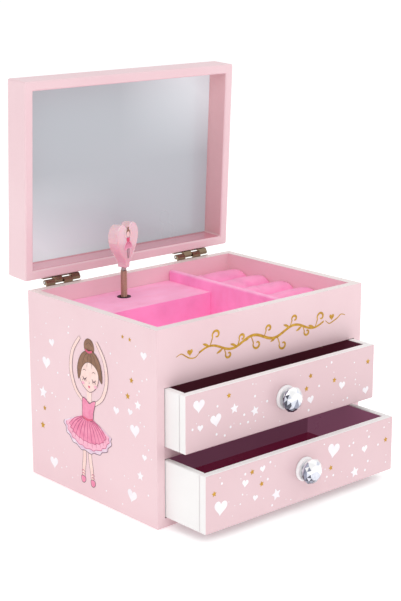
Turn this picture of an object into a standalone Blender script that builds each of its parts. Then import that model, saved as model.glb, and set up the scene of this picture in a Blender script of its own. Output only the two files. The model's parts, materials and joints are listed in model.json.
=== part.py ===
"""Ballerina jewellery box: a two-drawer music box with a folding heart topper.

Units are metres. The origin is the middle of the underside, +X to the right,
+Y to the back and +Z up. The lid stands open and both drawers are part drawn.
"""
import math

import bmesh
import bpy
from mathutils import Matrix, Vector

MM = 0.001
GAP = 0.3 * MM

# Case: painted fibreboard.
WIDTH = 180 * MM
DEPTH = 132 * MM
HEIGHT = 127.5 * MM
WALL = 6 * MM
HEADER_FOOT = 90.2 * MM
SHELF_TOP = 52.05 * MM
SHELF_FOOT = 44.3 * MM
SHELF_RECESS = 1 * MM
PARTITION_THICK = 3 * MM
BASE_TOP = 6.05 * MM
TRAY_FLOOR_TOP = 93.2 * MM
EDGE_ROUND = 1.5 * MM

# Lid: a shallow framed box with a mirror let into it.
LID_DEPTH = 20 * MM
LID_WALL = 6.5 * MM
LID_SEAT = 1.5 * MM
LID_OPEN = math.radians(87.3)
HINGE_AXIS = Vector((0, DEPTH / 2 + 3.1 * MM, HEIGHT + 2.0 * MM))
MIRROR_RECESS = 16.6 * MM
MIRROR_THICK = 0.9 * MM
MIRROR_MARGIN = 0.2 * MM

# Butt hinges: four knuckles on each.
HINGE_LENGTH = 29 * MM
HINGE_CENTRES = {"left": -59.8 * MM, "right": 55.4 * MM}
KNUCKLES = 4
KNUCKLE_RADIUS = 1.7 * MM
LEAF_THICK = 1.1 * MM
LEAF_START = 1.9 * MM
LEAF_END = 12 * MM
LEAF_ROUND = 0.25 * MM
KNUCKLE_ARC = math.radians(135)
WEB_OVERLAP = 0.4 * MM
HINGE_PIN_RADIUS = 0.8 * MM
PIN_HOLE_RADIUS = 1.0 * MM

# Tray.
VELVET_BOARD = 3 * MM
HOUSING_TOP = 116.6 * MM
HOUSING_FRONT = 14.8 * MM
DIVIDER_LEFT = 26.5 * MM
DIVIDER_THICK = 4.3 * MM
DIVIDER_TOP = 124 * MM
ROLL_COUNT = 5
ROLL_TOP = 119 * MM
ROLL_SHOULDER = 107 * MM
ROLL_SLIT = 0.6 * MM
ROLL_POWER = 2.3
KEY_HOLE_RADIUS = 2.5 * MM
WIRE_NOTCH_HALF = 1.5 * MM

# Drawers.
DRAWER_PLAY = 0.4 * MM
DRAWER_LENGTH = 78.4 * MM
DRAWER_FRONT = 5.5 * MM
DRAWER_WALL = 4.5 * MM
DRAWER_FLOOR_RISE = 5.5 * MM
DRAWER_FLOOR = 2.5 * MM
DRAWERS = {
    "upper": {"foot": SHELF_TOP, "head": HEADER_FOOT, "drawn": 18.9 * MM, "knob_rise": 0.0},
    "lower": {"foot": BASE_TOP, "head": SHELF_FOOT, "drawn": 37.1 * MM, "knob_rise": 2.9 * MM},
}
KNOB_RADIUS = 8.3 * MM
KNOB_BASE_RADIUS = 8.0 * MM
KNOB_BASE_THICK = 2.4 * MM
KNOB_FACETS = 12
SCREW_RADIUS = 1.5 * MM
SCREW_HOLE_RADIUS = 1.9 * MM
KNOB_STEP = 0.8 * MM
# Rings of the cut stone: share of the knob's radius, height, and half-facet turn.
KNOB_RINGS = (
    (0.70, 0.0, 0),
    (1.00, 3.8 * MM, 1),
    (1.00, 4.5 * MM, 1),
    (0.82, 6.4 * MM, 0),
    (0.55, 7.6 * MM, 1),
)
SCREW_HEAD_RADIUS = 3 * MM
SCREW_HEAD_HEIGHT = 1.6 * MM
DRAWER_ROUND = 0.5 * MM
PEG_RADIUS = 1.5 * MM
PEG_DROP = 3.4 * MM
PEG_ROW = -DEPTH / 2 + WALL + 2.1 * MM
PEGS = {
    "upper_peg_left": (-66.5 * MM, HEADER_FOOT),
    "upper_peg_right": (60.0 * MM, HEADER_FOOT),
    "lower_peg": (0.0, SHELF_FOOT),
}

# Figure: a heart on a coil spring, which folds forward about FOLD_AXIS.
STEM = Vector((-26.2 * MM, 44.4 * MM, 0))
STEM_HOLE_RADIUS = 4.9 * MM
BUSH_RADIUS = 4.6 * MM
BUSH_BORE = 3.0 * MM
SPRING_RADIUS = 2.25 * MM
SPRING_BORE = 1.55 * MM
SPRING_FOOT = 114.3 * MM
SPRING_HEAD = 135.1 * MM
SPINDLE_TOP = 124.1 * MM
BEND = SPRING_HEAD - SPINDLE_TOP
FOLD_AXIS = Vector((STEM.x, STEM.y - (2 / math.pi - 0.5) * BEND, SPINDLE_TOP + BEND / 2))
NECK_HEAD = 137.0 * MM
NECK_RADIUS = 1.9 * MM
HEART_WIDTH = 27 * MM
HEART_TOP = 167.4 * MM
HEART_THICK = 7.6 * MM
HEART_YAW = math.radians(19.4)
HEART_TIP = 1.7 * MM
HEART_BLUNT = 0.05
HEART_ROUND = 0.7 * MM

# Movement: every arbor but the spindle and the governor lies at AXLE_HEIGHT.
AXLE_HEIGHT = 103.5 * MM
PLATE_THICK = 2 * MM
PLATE_FOOT = TRAY_FLOOR_TOP + GAP
PLATE_TOP = PLATE_FOOT + PLATE_THICK
LUG_THICK = 1.2 * MM
ARBOR_RADIUS = 0.9 * MM
BEARING_RADIUS = 1.05 * MM
BEVEL_TEETH = 14
BEVEL_MODULE = 0.55 * MM
BEVEL_FACE = 1.8 * MM
WHEEL_TEETH = 24
PINION_TEETH = 8
SPUR_MODULE = 0.58 * MM
CROWN_MODULE = 0.55 * MM
WORM_TEETH = 12
WORM_MODULE = 0.7 * MM
WORM_RADIUS = 1.6 * MM
WORM_LENGTH = 7 * MM
CYLINDER_RADIUS = 6 * MM
CYLINDER_SPAN = (-18.5 * MM, -1.5 * MM)
PIN_HEIGHT = 0.5 * MM
PIN_COUNT = 36
COMB_TEETH = 18
BARREL_RADIUS = 7.6 * MM
BARREL_SPAN = (47.2 * MM, 56.4 * MM)
MAINSPRING_TURNS = 5
WINDING_RADIUS = 1.2 * MM
WHEEL_SPAN = (-20.3 * MM, -19.1 * MM)
CROWN_PINION_SPAN = (1.0 * MM, 3.4 * MM)
GOVERNOR_X = -38 * MM
STOP_WIRE = Vector((-14.1 * MM, 58.4 * MM, 150 * MM))
STOP_WIRE_RADIUS = 0.6 * MM

# Bedplate: its plan, the pads and lugs that stand on it, and the governor's bridge.
PLATE_LEFT = -44 * MM
PLATE_RIGHT = 18 * MM
PLATE_FRONT = 18.6 * MM
PLATE_BACK = 59.2 * MM
LUG_RISE = 3.2 * MM
LUG_HALF = 3 * MM
COMB_SEAT = ((-19 * MM, 19.2 * MM), (-1 * MM, 26.5 * MM))
COMB_SEAT_DROP = 0.9 * MM
LEFT_LUG_X = -21.9 * MM
RIGHT_LUG_X = -0.9 * MM
GOVERNOR_LUG_X = -42.2 * MM
GOVERNOR_LUG_HALF = 2.3 * MM
REAR_LUG = (57 * MM, 58.4 * MM)
REAR_LUG_HALF = 4 * MM
FRONT_LUG_Y = 42.4 * MM
FRONT_LUG_HALF = 2.5 * MM
BRIDGE_HALF = 1.5 * MM
BRIDGE_DROP = 1.3 * MM
BRIDGE_THICK = 0.8 * MM
BRIDGE_REACH = 5.4 * MM
PIVOT_BORE_RADIUS = 0.75 * MM

# Comb.
COMB_BACK = 19.6 * MM
COMB_THICK = 0.8 * MM
COMB_ROOT = 26.8 * MM
COMB_ROOT_SLOPE = 4.0 * MM
COMB_CLEAR = 0.2 * MM
COMB_SLOT_SHARE = 0.3

# Winding key and air brake.
KEY_STAND_OFF = 2 * MM
KEY_HUB_LENGTH = 10 * MM
KEY_HUB_RADIUS = 2.9 * MM
KEY_HUB_TIP = 2.2 * MM
KEY_CHAMFER = 1 * MM
KEY_BORE_DEPTH = 5.5 * MM
KEY_WING_RADIUS = 6.2 * MM
KEY_WING_HALF = 0.8 * MM
KEY_WING_ACROSS = 7.6 * MM
KEY_WING_ALONG = 12.5 * MM
KEY_EYE_RADIUS = 2.6 * MM
KEY_EYE_SHIFT = 1 * MM
BRAKE_SPAN = (108.8 * MM, 111.9 * MM)
BRAKE_HUB_RADIUS = 1.5 * MM
VANE_NEAR = 1.3 * MM
VANE_FAR = 4.2 * MM
VANE_HALF = 0.3 * MM

SPUR_CENTRES = (WHEEL_TEETH + PINION_TEETH) * SPUR_MODULE / 2
WORM_WHEEL_RADIUS = WORM_TEETH * WORM_MODULE / 2
GOVERNOR_ARBOR_Y = STEM.y + SPUR_CENTRES
WORM_Y = GOVERNOR_ARBOR_Y - WORM_WHEEL_RADIUS - WORM_RADIUS
CROWN_PINION_RADIUS = PINION_TEETH * CROWN_MODULE / 2
CROWN_RADIUS = WHEEL_TEETH * CROWN_MODULE / 2
BARREL_X = sum(CROWN_PINION_SPAN) / 2 + CROWN_RADIUS

# Colours of the finishes: red, green, blue, roughness, metallic.
FINISHES = {
    "pink_paint": (0.86, 0.62, 0.65, 0.38, 0.0),
    "white_paint": (0.88, 0.88, 0.87, 0.40, 0.0),
    "velvet": (0.90, 0.30, 0.55, 0.95, 0.0),
    "burgundy_lining": (0.10, 0.01, 0.03, 0.55, 0.0),
    "mirror": (0.85, 0.86, 0.88, 0.03, 1.0),
    "hinge_metal": (0.62, 0.56, 0.48, 0.22, 1.0),
    "stem_metal": (0.45, 0.33, 0.24, 0.30, 1.0),
    "brass": (0.75, 0.55, 0.25, 0.30, 1.0),
    "steel": (0.60, 0.60, 0.60, 0.30, 1.0),
    "zinc": (0.50, 0.51, 0.52, 0.45, 1.0),
    "crystal": (0.92, 0.94, 0.96, 0.03, 0.0),
    "knob_white": (0.90, 0.90, 0.89, 0.30, 0.0),
    "black_plastic": (0.01, 0.01, 0.01, 0.45, 0.0),
    "peg_wood": (0.36, 0.24, 0.16, 0.60, 0.0),
    "heart_plastic": (0.92, 0.52, 0.58, 0.25, 0.0),
    "neck_plastic": (0.60, 0.55, 0.55, 0.30, 0.0),
}


# --- Scene helpers -----------------------------------------------------------

def clear_scene():
    for item in list(bpy.data.objects):
        bpy.data.objects.remove(item, do_unlink=True)


def finish(name):
    """Return the Principled material of one finish, made on first use."""
    material = bpy.data.materials.get(name)
    if material is None:
        red, green, blue, rough, metal = FINISHES[name]
        material = bpy.data.materials.new(name)
        material.use_nodes = True
        shader = material.node_tree.nodes["Principled BSDF"]
        shader.inputs["Base Color"].default_value = (red, green, blue, 1)
        shader.inputs["Roughness"].default_value = rough
        shader.inputs["Metallic"].default_value = metal
    return material


def pivot(name, location, rotation=(0, 0, 0)):
    """An empty on a joint's axis, which carries the pieces that move on it."""
    empty = bpy.data.objects.new(name, None)
    empty.location = location
    empty.rotation_euler = rotation
    bpy.context.scene.collection.objects.link(empty)
    return empty


def solid(name, bm, origin=(0, 0, 0)):
    """Turn a bmesh, given in case coordinates, into an object with its origin at origin."""
    bmesh.ops.recalc_face_normals(bm, faces=bm.faces)
    bmesh.ops.translate(bm, verts=bm.verts, vec=-Vector(origin))
    mesh = bpy.data.meshes.new(name)
    bm.to_mesh(mesh)
    bm.free()
    item = bpy.data.objects.new(name, mesh)
    item.location = origin
    bpy.context.scene.collection.objects.link(item)
    return item


def dress(item, finish_name, parent=None, smooth=None):
    """Give an object its finish, its parent and, on round pieces, smooth shading."""
    item.data.materials.clear()
    item.data.materials.append(finish(finish_name))
    if parent is not None:
        item.parent = parent
        item.location = Vector(item.location) - Vector(parent.location)
    if smooth is not None:
        item.data.shade_smooth()
        item.data.set_sharp_from_angle(angle=math.radians(smooth))
    return item


def combine(target, tools, operation):
    """Apply EXACT booleans of the tools to the target, and remove the tools."""
    for tool in tools:
        modifier = target.modifiers.new(operation.title(), "BOOLEAN")
        modifier.operation = operation
        modifier.solver = "EXACT"
        modifier.object = tool
    bpy.context.view_layer.update()
    graph = bpy.context.evaluated_depsgraph_get()
    mesh = bpy.data.meshes.new_from_object(target.evaluated_get(graph))
    target.modifiers.clear()
    target.data = mesh
    for tool in tools:
        bpy.data.objects.remove(tool, do_unlink=True)
    return target


# --- Shape helpers -----------------------------------------------------------

def box(low, high):
    """A bmesh box between two corners."""
    low, high = Vector(low), Vector(high)
    bm = bmesh.new()
    size = high - low
    frame = Matrix.Translation((low + high) / 2) @ Matrix.Diagonal((*size, 1))
    bmesh.ops.create_cube(bm, size=1, matrix=frame)
    return bm


def rounded(bm, width, segments=2, choose=None):
    """Round the edges that choose picks, or all of them."""
    edges = [edge for edge in bm.edges if choose is None or choose(edge)]
    bmesh.ops.bevel(bm, geom=edges, offset=width, segments=segments, profile=0.5,
                    affect="EDGES", clamp_overlap=True)
    return bm


def board(name, low, high, finish_name, parent=None, width=0.4 * MM, segments=1, choose=None):
    """A flat board with its origin at its middle."""
    middle = (Vector(low) + Vector(high)) / 2
    item = solid(name, rounded(box(low, high), width, segments, choose), middle)
    return dress(item, finish_name, parent)


AXES = {
    "X": Matrix(((0, 0, 1), (1, 0, 0), (0, 1, 0))).to_4x4(),
    "Y": Matrix(((0, 1, 0), (0, 0, 1), (1, 0, 0))).to_4x4(),
    "Z": Matrix.Identity(4),
}


def aligned(bm, axis, origin):
    """Lay a bmesh made along +Z on another axis, and move it to origin."""
    bmesh.ops.transform(bm, matrix=Matrix.Translation(Vector(origin)) @ AXES[axis], verts=bm.verts)
    return bm


def turned(profile, segments=24, closed=False):
    """Turn (radius, height) points about +Z; a point on the axis closes an end."""
    bm = bmesh.new()
    rings = []
    for radius, height in profile:
        count = segments if radius > 0 else 1
        ring = []
        for step in range(count):
            angle = math.tau * step / count
            ring.append(bm.verts.new((radius * math.cos(angle), radius * math.sin(angle), height)))
        rings.append(ring)
    pairs = list(zip(rings, rings[1:]))
    if closed:
        pairs.append((rings[-1], rings[0]))
    for lower, upper in pairs:
        bridge(bm, lower, upper, segments)
    return bm


def bridge(bm, lower, upper, segments):
    for step in range(segments):
        ahead = (step + 1) % segments
        corners = [lower[step % len(lower)], lower[ahead % len(lower)],
                   upper[ahead % len(upper)], upper[step % len(upper)]]
        bm.faces.new(list(dict.fromkeys(corners)))


def rod(radius, low, high, segments=24):
    """A plain round rod along +Z."""
    return turned([(0, low), (radius, low), (radius, high), (0, high)], segments)


def tube(bore, radius, low, high, segments=24):
    return turned([(bore, low), (radius, low), (radius, high), (bore, high)], segments, closed=True)


def prism(outline, low, high, taper=1.0):
    """Extrude an outline along +Z; taper scales the far end towards the axis."""
    bm = bmesh.new()
    near = [bm.verts.new((x, y, low)) for x, y in outline]
    far = [bm.verts.new((x * taper, y * taper, high)) for x, y in outline]
    bm.faces.new(near)
    bm.faces.new(far)
    bridge(bm, near, far, len(outline))
    bmesh.ops.recalc_face_normals(bm, faces=bm.faces)
    return bm


def gear_outline(teeth, module, tooth_at=0.0):
    """Straight-flanked teeth with backlash, one of them at the angle tooth_at."""
    pitch = math.tau / teeth
    root = teeth * module / 2 - 1.15 * module
    tip = teeth * module / 2 + 0.8 * module
    corners = ((root, -0.27), (tip, -0.11), (tip, 0.11), (root, 0.27))
    points = []
    for tooth in range(teeth):
        for radius, share in corners:
            angle = tooth_at + pitch * (tooth + share)
            points.append((radius * math.cos(angle), radius * math.sin(angle)))
    return points


def wire(name, points, radius, resolution=2):
    """A round wire through points, with filled ends, as a mesh object."""
    curve = bpy.data.curves.new(name, "CURVE")
    curve.dimensions = "3D"
    curve.bevel_depth = radius
    curve.bevel_resolution = resolution
    curve.use_fill_caps = True
    spline = curve.splines.new("POLY")
    spline.points.add(len(points) - 1)
    for point, place in zip(spline.points, points):
        point.co = (*place, 1)
    item = bpy.data.objects.new(name, curve)
    bpy.context.scene.collection.objects.link(item)
    return item


# --- Case --------------------------------------------------------------------

def outer_upright(edge):
    """Pick the upright edges on the outside corners of the case."""
    ends = [vert.co for vert in edge.verts]
    upright = abs(ends[0].z - ends[1].z) > WALL
    return upright and all(abs(abs(end.x) - WIDTH / 2) < GAP for end in ends)


def build_case():
    side = WIDTH / 2
    back = DEPTH / 2
    inner = side - WALL - GAP
    for name, sign in (("side_panel_left", -1), ("side_panel_right", 1)):
        outside, inside = sign * side, sign * (side - WALL)
        board(name, (min(outside, inside), -back, 0), (max(outside, inside), back, HEIGHT),
              "pink_paint", width=EDGE_ROUND, segments=3, choose=outer_upright)
    board("base_panel", (-inner, -back, 0), (inner, back - WALL - GAP, BASE_TOP), "pink_paint")
    board("header_panel", (-inner, -back, HEADER_FOOT), (inner, -back + WALL, HEIGHT), "pink_paint")
    shelf_rear = DRAWER_LENGTH - back
    board("drawer_shelf", (-inner, -back + SHELF_RECESS, SHELF_FOOT),
          (inner, shelf_rear, SHELF_TOP), "pink_paint")
    # The partition closes the two bays, and a shut drawer's rear comes to rest on it.
    stop = shelf_rear + GAP
    board("drawer_partition", (-inner, stop, BASE_TOP + GAP),
          (inner, stop + PARTITION_THICK, HEADER_FOOT - GAP), "pink_paint")
    board("tray_floor", (-inner, -back + WALL + GAP, HEADER_FOOT),
          (inner, back - WALL - GAP, TRAY_FLOOR_TOP), "velvet")
    panel = board("back_panel", (-inner, back - WALL, 0), (inner, back, HEIGHT), "pink_paint")
    key_hole = solid("key_hole", aligned(rod(KEY_HOLE_RADIUS, 0, DEPTH), "Y", (BARREL_X, 0, AXLE_HEIGHT)))
    combine(panel, [key_hole], "DIFFERENCE")


def roll_outline():
    """Section of a ring roll in (y, z): upright flanks under a superellipse crown."""
    half = (DEPTH - 2 * WALL) / ROLL_COUNT / 2 - ROLL_SLIT / 2
    rise = ROLL_TOP - ROLL_SHOULDER
    crown_steps = 14
    points = [(-half, TRAY_FLOOR_TOP + GAP), (half, TRAY_FLOOR_TOP + GAP)]
    for step in range(crown_steps + 1):
        angle = math.pi * step / crown_steps
        across = math.copysign(abs(math.cos(angle)) ** (2 / ROLL_POWER), math.cos(angle))
        points.append((half * across, ROLL_SHOULDER + rise * math.sin(angle) ** (2 / ROLL_POWER)))
    return points


def build_tray():
    back = DEPTH / 2 - WALL - GAP
    side = WIDTH / 2 - WALL - GAP
    foot = TRAY_FLOOR_TOP + GAP
    divider_right = DIVIDER_LEFT + DIVIDER_THICK
    board("tray_divider", (DIVIDER_LEFT, -back, foot), (divider_right, back, DIVIDER_TOP), "velvet",
          width=1.2 * MM, segments=2)
    pitch = (DEPTH - 2 * WALL) / ROLL_COUNT
    for index in range(ROLL_COUNT):
        centre = DEPTH / 2 - WALL - pitch * (index + 0.5)
        bm = aligned(prism(roll_outline(), divider_right + GAP, side), "X", (0, centre, 0))
        item = solid(f"ring_roll_{index + 1}", bm, (divider_right, centre, ROLL_SHOULDER))
        dress(item, "velvet", smooth=40)
    board("housing_front", (-side, HOUSING_FRONT, foot),
          (DIVIDER_LEFT - GAP, HOUSING_FRONT + VELVET_BOARD, HOUSING_TOP - VELVET_BOARD - GAP), "velvet")
    build_housing_top(side, back)
    bush = tube(BUSH_BORE, BUSH_RADIUS, HOUSING_TOP - VELVET_BOARD + GAP, HOUSING_TOP + GAP)
    dress(solid("stem_bush", aligned(bush, "Z", STEM), STEM), "black_plastic", smooth=40)
    for name, (across, ceiling) in PEGS.items():
        place = (across, PEG_ROW, ceiling - GAP)
        dress(solid(name, aligned(rod(PEG_RADIUS, -PEG_DROP, 0, 16), "Z", place), place), "peg_wood",
              smooth=40)


def build_housing_top(side, back):
    """The lid of the movement's housing, with the stem's hole and the stop wire's notch."""
    top = board("housing_top", (-side, HOUSING_FRONT, HOUSING_TOP - VELVET_BOARD),
                (DIVIDER_LEFT - GAP, back, HOUSING_TOP), "velvet", width=0.8 * MM, segments=2)
    hole = solid("stem_hole", aligned(rod(STEM_HOLE_RADIUS, 0, DEPTH, 32), "Z", STEM))
    notch = solid("wire_notch", box(
        (STOP_WIRE.x - WIRE_NOTCH_HALF, STOP_WIRE.y - WIRE_NOTCH_HALF, PLATE_TOP),
        (STOP_WIRE.x + WIRE_NOTCH_HALF, DEPTH, HEIGHT)))
    combine(top, [hole, notch], "DIFFERENCE")


# --- Drawers -----------------------------------------------------------------

def build_drawer(name, foot, head, drawn, knob_rise):
    """One drawer: front, three-sided frame, bottom, knob and the knob's screw."""
    face = -DEPTH / 2 - drawn
    low = foot + DRAWER_PLAY
    high = head - DRAWER_PLAY
    half = WIDTH / 2 - WALL - DRAWER_PLAY
    slide = pivot(f"{name}_drawer_slide", (0, face, low))
    knob = Vector((0, face, (foot + head) / 2 + knob_rise))

    front = board(f"{name}_drawer_front", (-half, face, low), (half, face + DRAWER_FRONT, high),
                  "pink_paint", width=0.6 * MM, segments=2)
    hole = solid("screw_hole", aligned(rod(SCREW_HOLE_RADIUS, -DEPTH, DEPTH, 16), "Y", knob))
    combine(front, [hole], "DIFFERENCE")
    dress(front, "pink_paint", slide)

    rear = face + DRAWER_LENGTH
    inner = half - DRAWER_WALL
    start = face + DRAWER_FRONT + GAP
    inner_rear = rear - DRAWER_WALL
    outline = [(-half, start), (-inner, start), (-inner, inner_rear), (inner, inner_rear),
               (inner, start), (half, start), (half, rear), (-half, rear)]
    bm = rounded(prism(outline, low, high), DRAWER_ROUND, 1)
    frame = solid(f"{name}_drawer_frame", bm, (0, face, low))
    dress(frame, "white_paint", slide)

    floor = low + DRAWER_FLOOR_RISE
    board(f"{name}_drawer_bottom", (-inner + GAP, start, floor),
          (inner - GAP, inner_rear - GAP, floor + DRAWER_FLOOR), "burgundy_lining", slide)
    build_knob(name, knob, slide)


def build_knob(name, knob, slide):
    """White seat, cut crystal and the screw that passes through the drawer's front."""
    neck = KNOB_BASE_RADIUS - KNOB_STEP
    seat = turned([(SCREW_HOLE_RADIUS, 0), (KNOB_BASE_RADIUS, 0), (KNOB_BASE_RADIUS, KNOB_STEP),
                   (neck, 2 * KNOB_STEP), (neck, KNOB_BASE_THICK),
                   (SCREW_HOLE_RADIUS, KNOB_BASE_THICK)], 32, closed=True)
    seat_place = knob - Vector((0, GAP, 0))
    dress(solid(f"{name}_knob_seat", toward_front(seat, seat_place), seat_place), "knob_white",
          slide, 40)
    stone_place = seat_place - Vector((0, KNOB_BASE_THICK + GAP, 0))
    stone = solid(f"{name}_knob_crystal", toward_front(brilliant(), stone_place), stone_place)
    dress(stone, "crystal", slide)
    shank = KNOB_BASE_THICK + DRAWER_FRONT + GAP
    screw = turned([(0, -SCREW_HEAD_HEIGHT), (SCREW_HEAD_RADIUS, -SCREW_HEAD_HEIGHT),
                    (SCREW_HEAD_RADIUS, 0), (SCREW_RADIUS, 0), (SCREW_RADIUS, shank), (0, shank)], 16)
    screw_place = knob + Vector((0, DRAWER_FRONT + GAP, 0))
    dress(solid(f"{name}_knob_screw", toward_front(screw, screw_place), screw_place), "steel",
          slide, 40)


def toward_front(bm, place):
    """Lay a bmesh made along +Z so that its +Z points to the front."""
    turn = Matrix.Rotation(math.pi / 2, 4, "X")
    bmesh.ops.transform(bm, matrix=Matrix.Translation(place) @ turn, verts=bm.verts)
    return bm


def brilliant():
    """A cut stone: rings of corners, every second ring turned by half a facet."""
    bm = bmesh.new()
    layers = []
    for share, height, shift in KNOB_RINGS:
        layer = []
        for facet in range(KNOB_FACETS):
            angle = math.tau * (facet + shift / 2) / KNOB_FACETS
            radius = KNOB_RADIUS * share
            layer.append(bm.verts.new((radius * math.cos(angle), radius * math.sin(angle), height)))
        layers.append((layer, shift))
    bm.faces.new(layers[0][0])
    bm.faces.new(layers[-1][0])
    for (lower, shift_low), (upper, shift_high) in zip(layers, layers[1:]):
        for facet in range(KNOB_FACETS):
            ahead = (facet + 1) % KNOB_FACETS
            if shift_low == shift_high:
                bm.faces.new((lower[facet], lower[ahead], upper[ahead], upper[facet]))
            elif shift_low < shift_high:
                bm.faces.new((lower[facet], lower[ahead], upper[facet]))
                bm.faces.new((lower[ahead], upper[ahead], upper[facet]))
            else:
                bm.faces.new((lower[facet], lower[ahead], upper[ahead]))
                bm.faces.new((lower[facet], upper[ahead], upper[facet]))
    return bm


# --- Lid and hinges ----------------------------------------------------------

def build_lid(lid_pivot):
    """The lid, drawn closed and then turned open with its pivot."""
    side, back = WIDTH / 2, DEPTH / 2
    rim = HEIGHT + LID_SEAT
    top = rim + LID_DEPTH
    panel_foot = rim + MIRROR_RECESS + MIRROR_THICK + MIRROR_MARGIN
    inner_x = side - LID_WALL
    inner_y = back - LID_WALL
    wall_top = panel_foot - GAP
    board("lid_top", (-side, -back, panel_foot), (side, back, top), "pink_paint", lid_pivot,
          width=0.8 * MM, segments=2)
    for name, low, high in (
            ("lid_wall_left", (-side, -back), (-inner_x, back)),
            ("lid_wall_right", (inner_x, -back), (side, back)),
            ("lid_wall_front", (-inner_x + GAP, -back), (inner_x - GAP, -inner_y)),
            ("lid_wall_back", (-inner_x + GAP, inner_y), (inner_x - GAP, back))):
        board(name, (*low, rim), (*high, wall_top), "pink_paint", lid_pivot)
    margin = GAP + MIRROR_MARGIN
    glass = rim + MIRROR_RECESS
    board("mirror", (-inner_x + margin, -inner_y + margin, glass),
          (inner_x - margin, inner_y - margin, glass + MIRROR_THICK), "mirror", lid_pivot, width=0.2 * MM)


def leaf_section(side_sign):
    """Section in (y, z) of one knuckle with the web that joins it to its leaf."""
    axis_y, axis_z = HINGE_AXIS.y, HINGE_AXIS.z
    plate_y = DEPTH / 2 + GAP
    steps = 12
    points = [(plate_y, axis_z + side_sign * LEAF_START), (plate_y, axis_z - side_sign * 0.1 * MM)]
    for step in range(steps + 1):
        angle = KNUCKLE_ARC * (1 - 2 * step / steps)
        points.append((axis_y + KNUCKLE_RADIUS * math.cos(angle),
                       axis_z - side_sign * KNUCKLE_RADIUS * math.sin(angle)))
    points.append((plate_y + LEAF_THICK, axis_z + side_sign * LEAF_START))
    return points


def build_leaf(name, centre, side_sign, first, parent):
    """One hinge leaf: a plate and every second knuckle, bored for the pin."""
    start = centre - HINGE_LENGTH / 2
    pitch = HINGE_LENGTH / KNUCKLES
    plate_y = DEPTH / 2 + GAP
    near = HINGE_AXIS.z + side_sign * LEAF_START
    far = HINGE_AXIS.z + side_sign * LEAF_END
    overlap = side_sign * WEB_OVERLAP
    plate = box((start, plate_y, min(near, far)),
                (start + HINGE_LENGTH, plate_y + LEAF_THICK, max(near, far)))
    leaf = solid(name, rounded(plate, LEAF_ROUND, 1))
    knuckles = []
    section = [(y, z if abs(z - near) > GAP / 2 else z + overlap) for y, z in leaf_section(side_sign)]
    for index in range(first, KNUCKLES, 2):
        low = start + pitch * index + GAP / 2
        bm = aligned(prism(section, low, low + pitch - GAP), "X", (0, 0, 0))
        knuckles.append(solid("knuckle", bm))
    combine(leaf, knuckles, "UNION")
    bore = solid("pin_bore", aligned(rod(PIN_HOLE_RADIUS, -WIDTH, WIDTH, 16), "X", HINGE_AXIS))
    combine(leaf, [bore], "DIFFERENCE")
    origin = Vector((0, HINGE_AXIS.y, HINGE_AXIS.z))
    leaf.data.transform(Matrix.Translation(-origin))
    leaf.location = origin
    dress(leaf, "hinge_metal", parent, smooth=30)


def build_hinges(lid_pivot):
    for side, centre in HINGE_CENTRES.items():
        build_leaf(f"hinge_{side}_case_leaf", centre, -1, 0, None)
        build_leaf(f"hinge_{side}_lid_leaf", centre, 1, 1, lid_pivot)
        place = Vector((centre, HINGE_AXIS.y, HINGE_AXIS.z))
        pin = rod(HINGE_PIN_RADIUS, -HINGE_LENGTH / 2, HINGE_LENGTH / 2, 16)
        dress(solid(f"hinge_{side}_pin", aligned(pin, "X", place), place), "steel", smooth=40)


# --- Figure ------------------------------------------------------------------

def heart_outline():
    """A heart standing on a blunt tip, in (across, up) from the foot of the stem's neck."""
    steps = 44
    raw = []
    for step in range(steps):
        angle = math.tau * step / steps
        across = 16 * math.sin(angle) ** 3
        up = (13 * math.cos(angle) - 5 * math.cos(2 * angle)
              - 2 * math.cos(3 * angle) - math.cos(4 * angle))
        raw.append((across, up))
    foot = min(up for _, up in raw)
    height = max(up for _, up in raw) - foot
    tall = HEART_TOP - NECK_HEAD - GAP
    points = []
    for across, up in raw:
        share = (up - foot) / height
        if share > HEART_BLUNT:
            width = across / 16 * HEART_WIDTH / 2
            points.append((width, tall * (share - HEART_BLUNT) / (1 - HEART_BLUNT)))
    lowest = min(up for _, up in points)
    right = [point for point in points if point[0] >= 0 and point[1] > lowest]
    left = [point for point in points if point[0] < 0 and point[1] > lowest]
    return right + [(HEART_TIP, 0), (-HEART_TIP, 0)] + left


def build_figure():
    """The folding upper stem, and the heart that turns on it."""
    fold = pivot("figure_fold", FOLD_AXIS)
    spring = tube(SPRING_BORE, SPRING_RADIUS, SPRING_FOOT, SPRING_HEAD, 20)
    dress(solid("stem_spring", aligned(spring, "Z", STEM), FOLD_AXIS), "stem_metal", fold, 40)
    head = pivot("figure_spin", (STEM.x, STEM.y, SPRING_HEAD), (0, 0, HEART_YAW))
    neck = turned([(0, SPRING_HEAD + GAP), (NECK_RADIUS, SPRING_HEAD + GAP),
                   (NECK_RADIUS * 0.8, NECK_HEAD), (0, NECK_HEAD)], 20)
    dress(solid("heart_neck", aligned(neck, "Z", STEM), head.location), "neck_plastic", head, 40)
    bm = prism(heart_outline(), -HEART_THICK / 2, HEART_THICK / 2)
    flat = [edge for edge in bm.edges if abs(edge.verts[0].co.z - edge.verts[1].co.z) < GAP]
    bmesh.ops.bevel(bm, geom=flat, offset=HEART_ROUND, segments=2, profile=0.5, affect="EDGES")
    stand = Matrix.Rotation(math.pi / 2, 4, "X")
    lift = Matrix.Translation((STEM.x, STEM.y, NECK_HEAD + GAP))
    bmesh.ops.transform(bm, matrix=lift @ stand, verts=bm.verts)
    dress(solid("heart_topper", bm, head.location), "heart_plastic", head, 35)


# --- Movement ----------------------------------------------------------------

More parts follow.
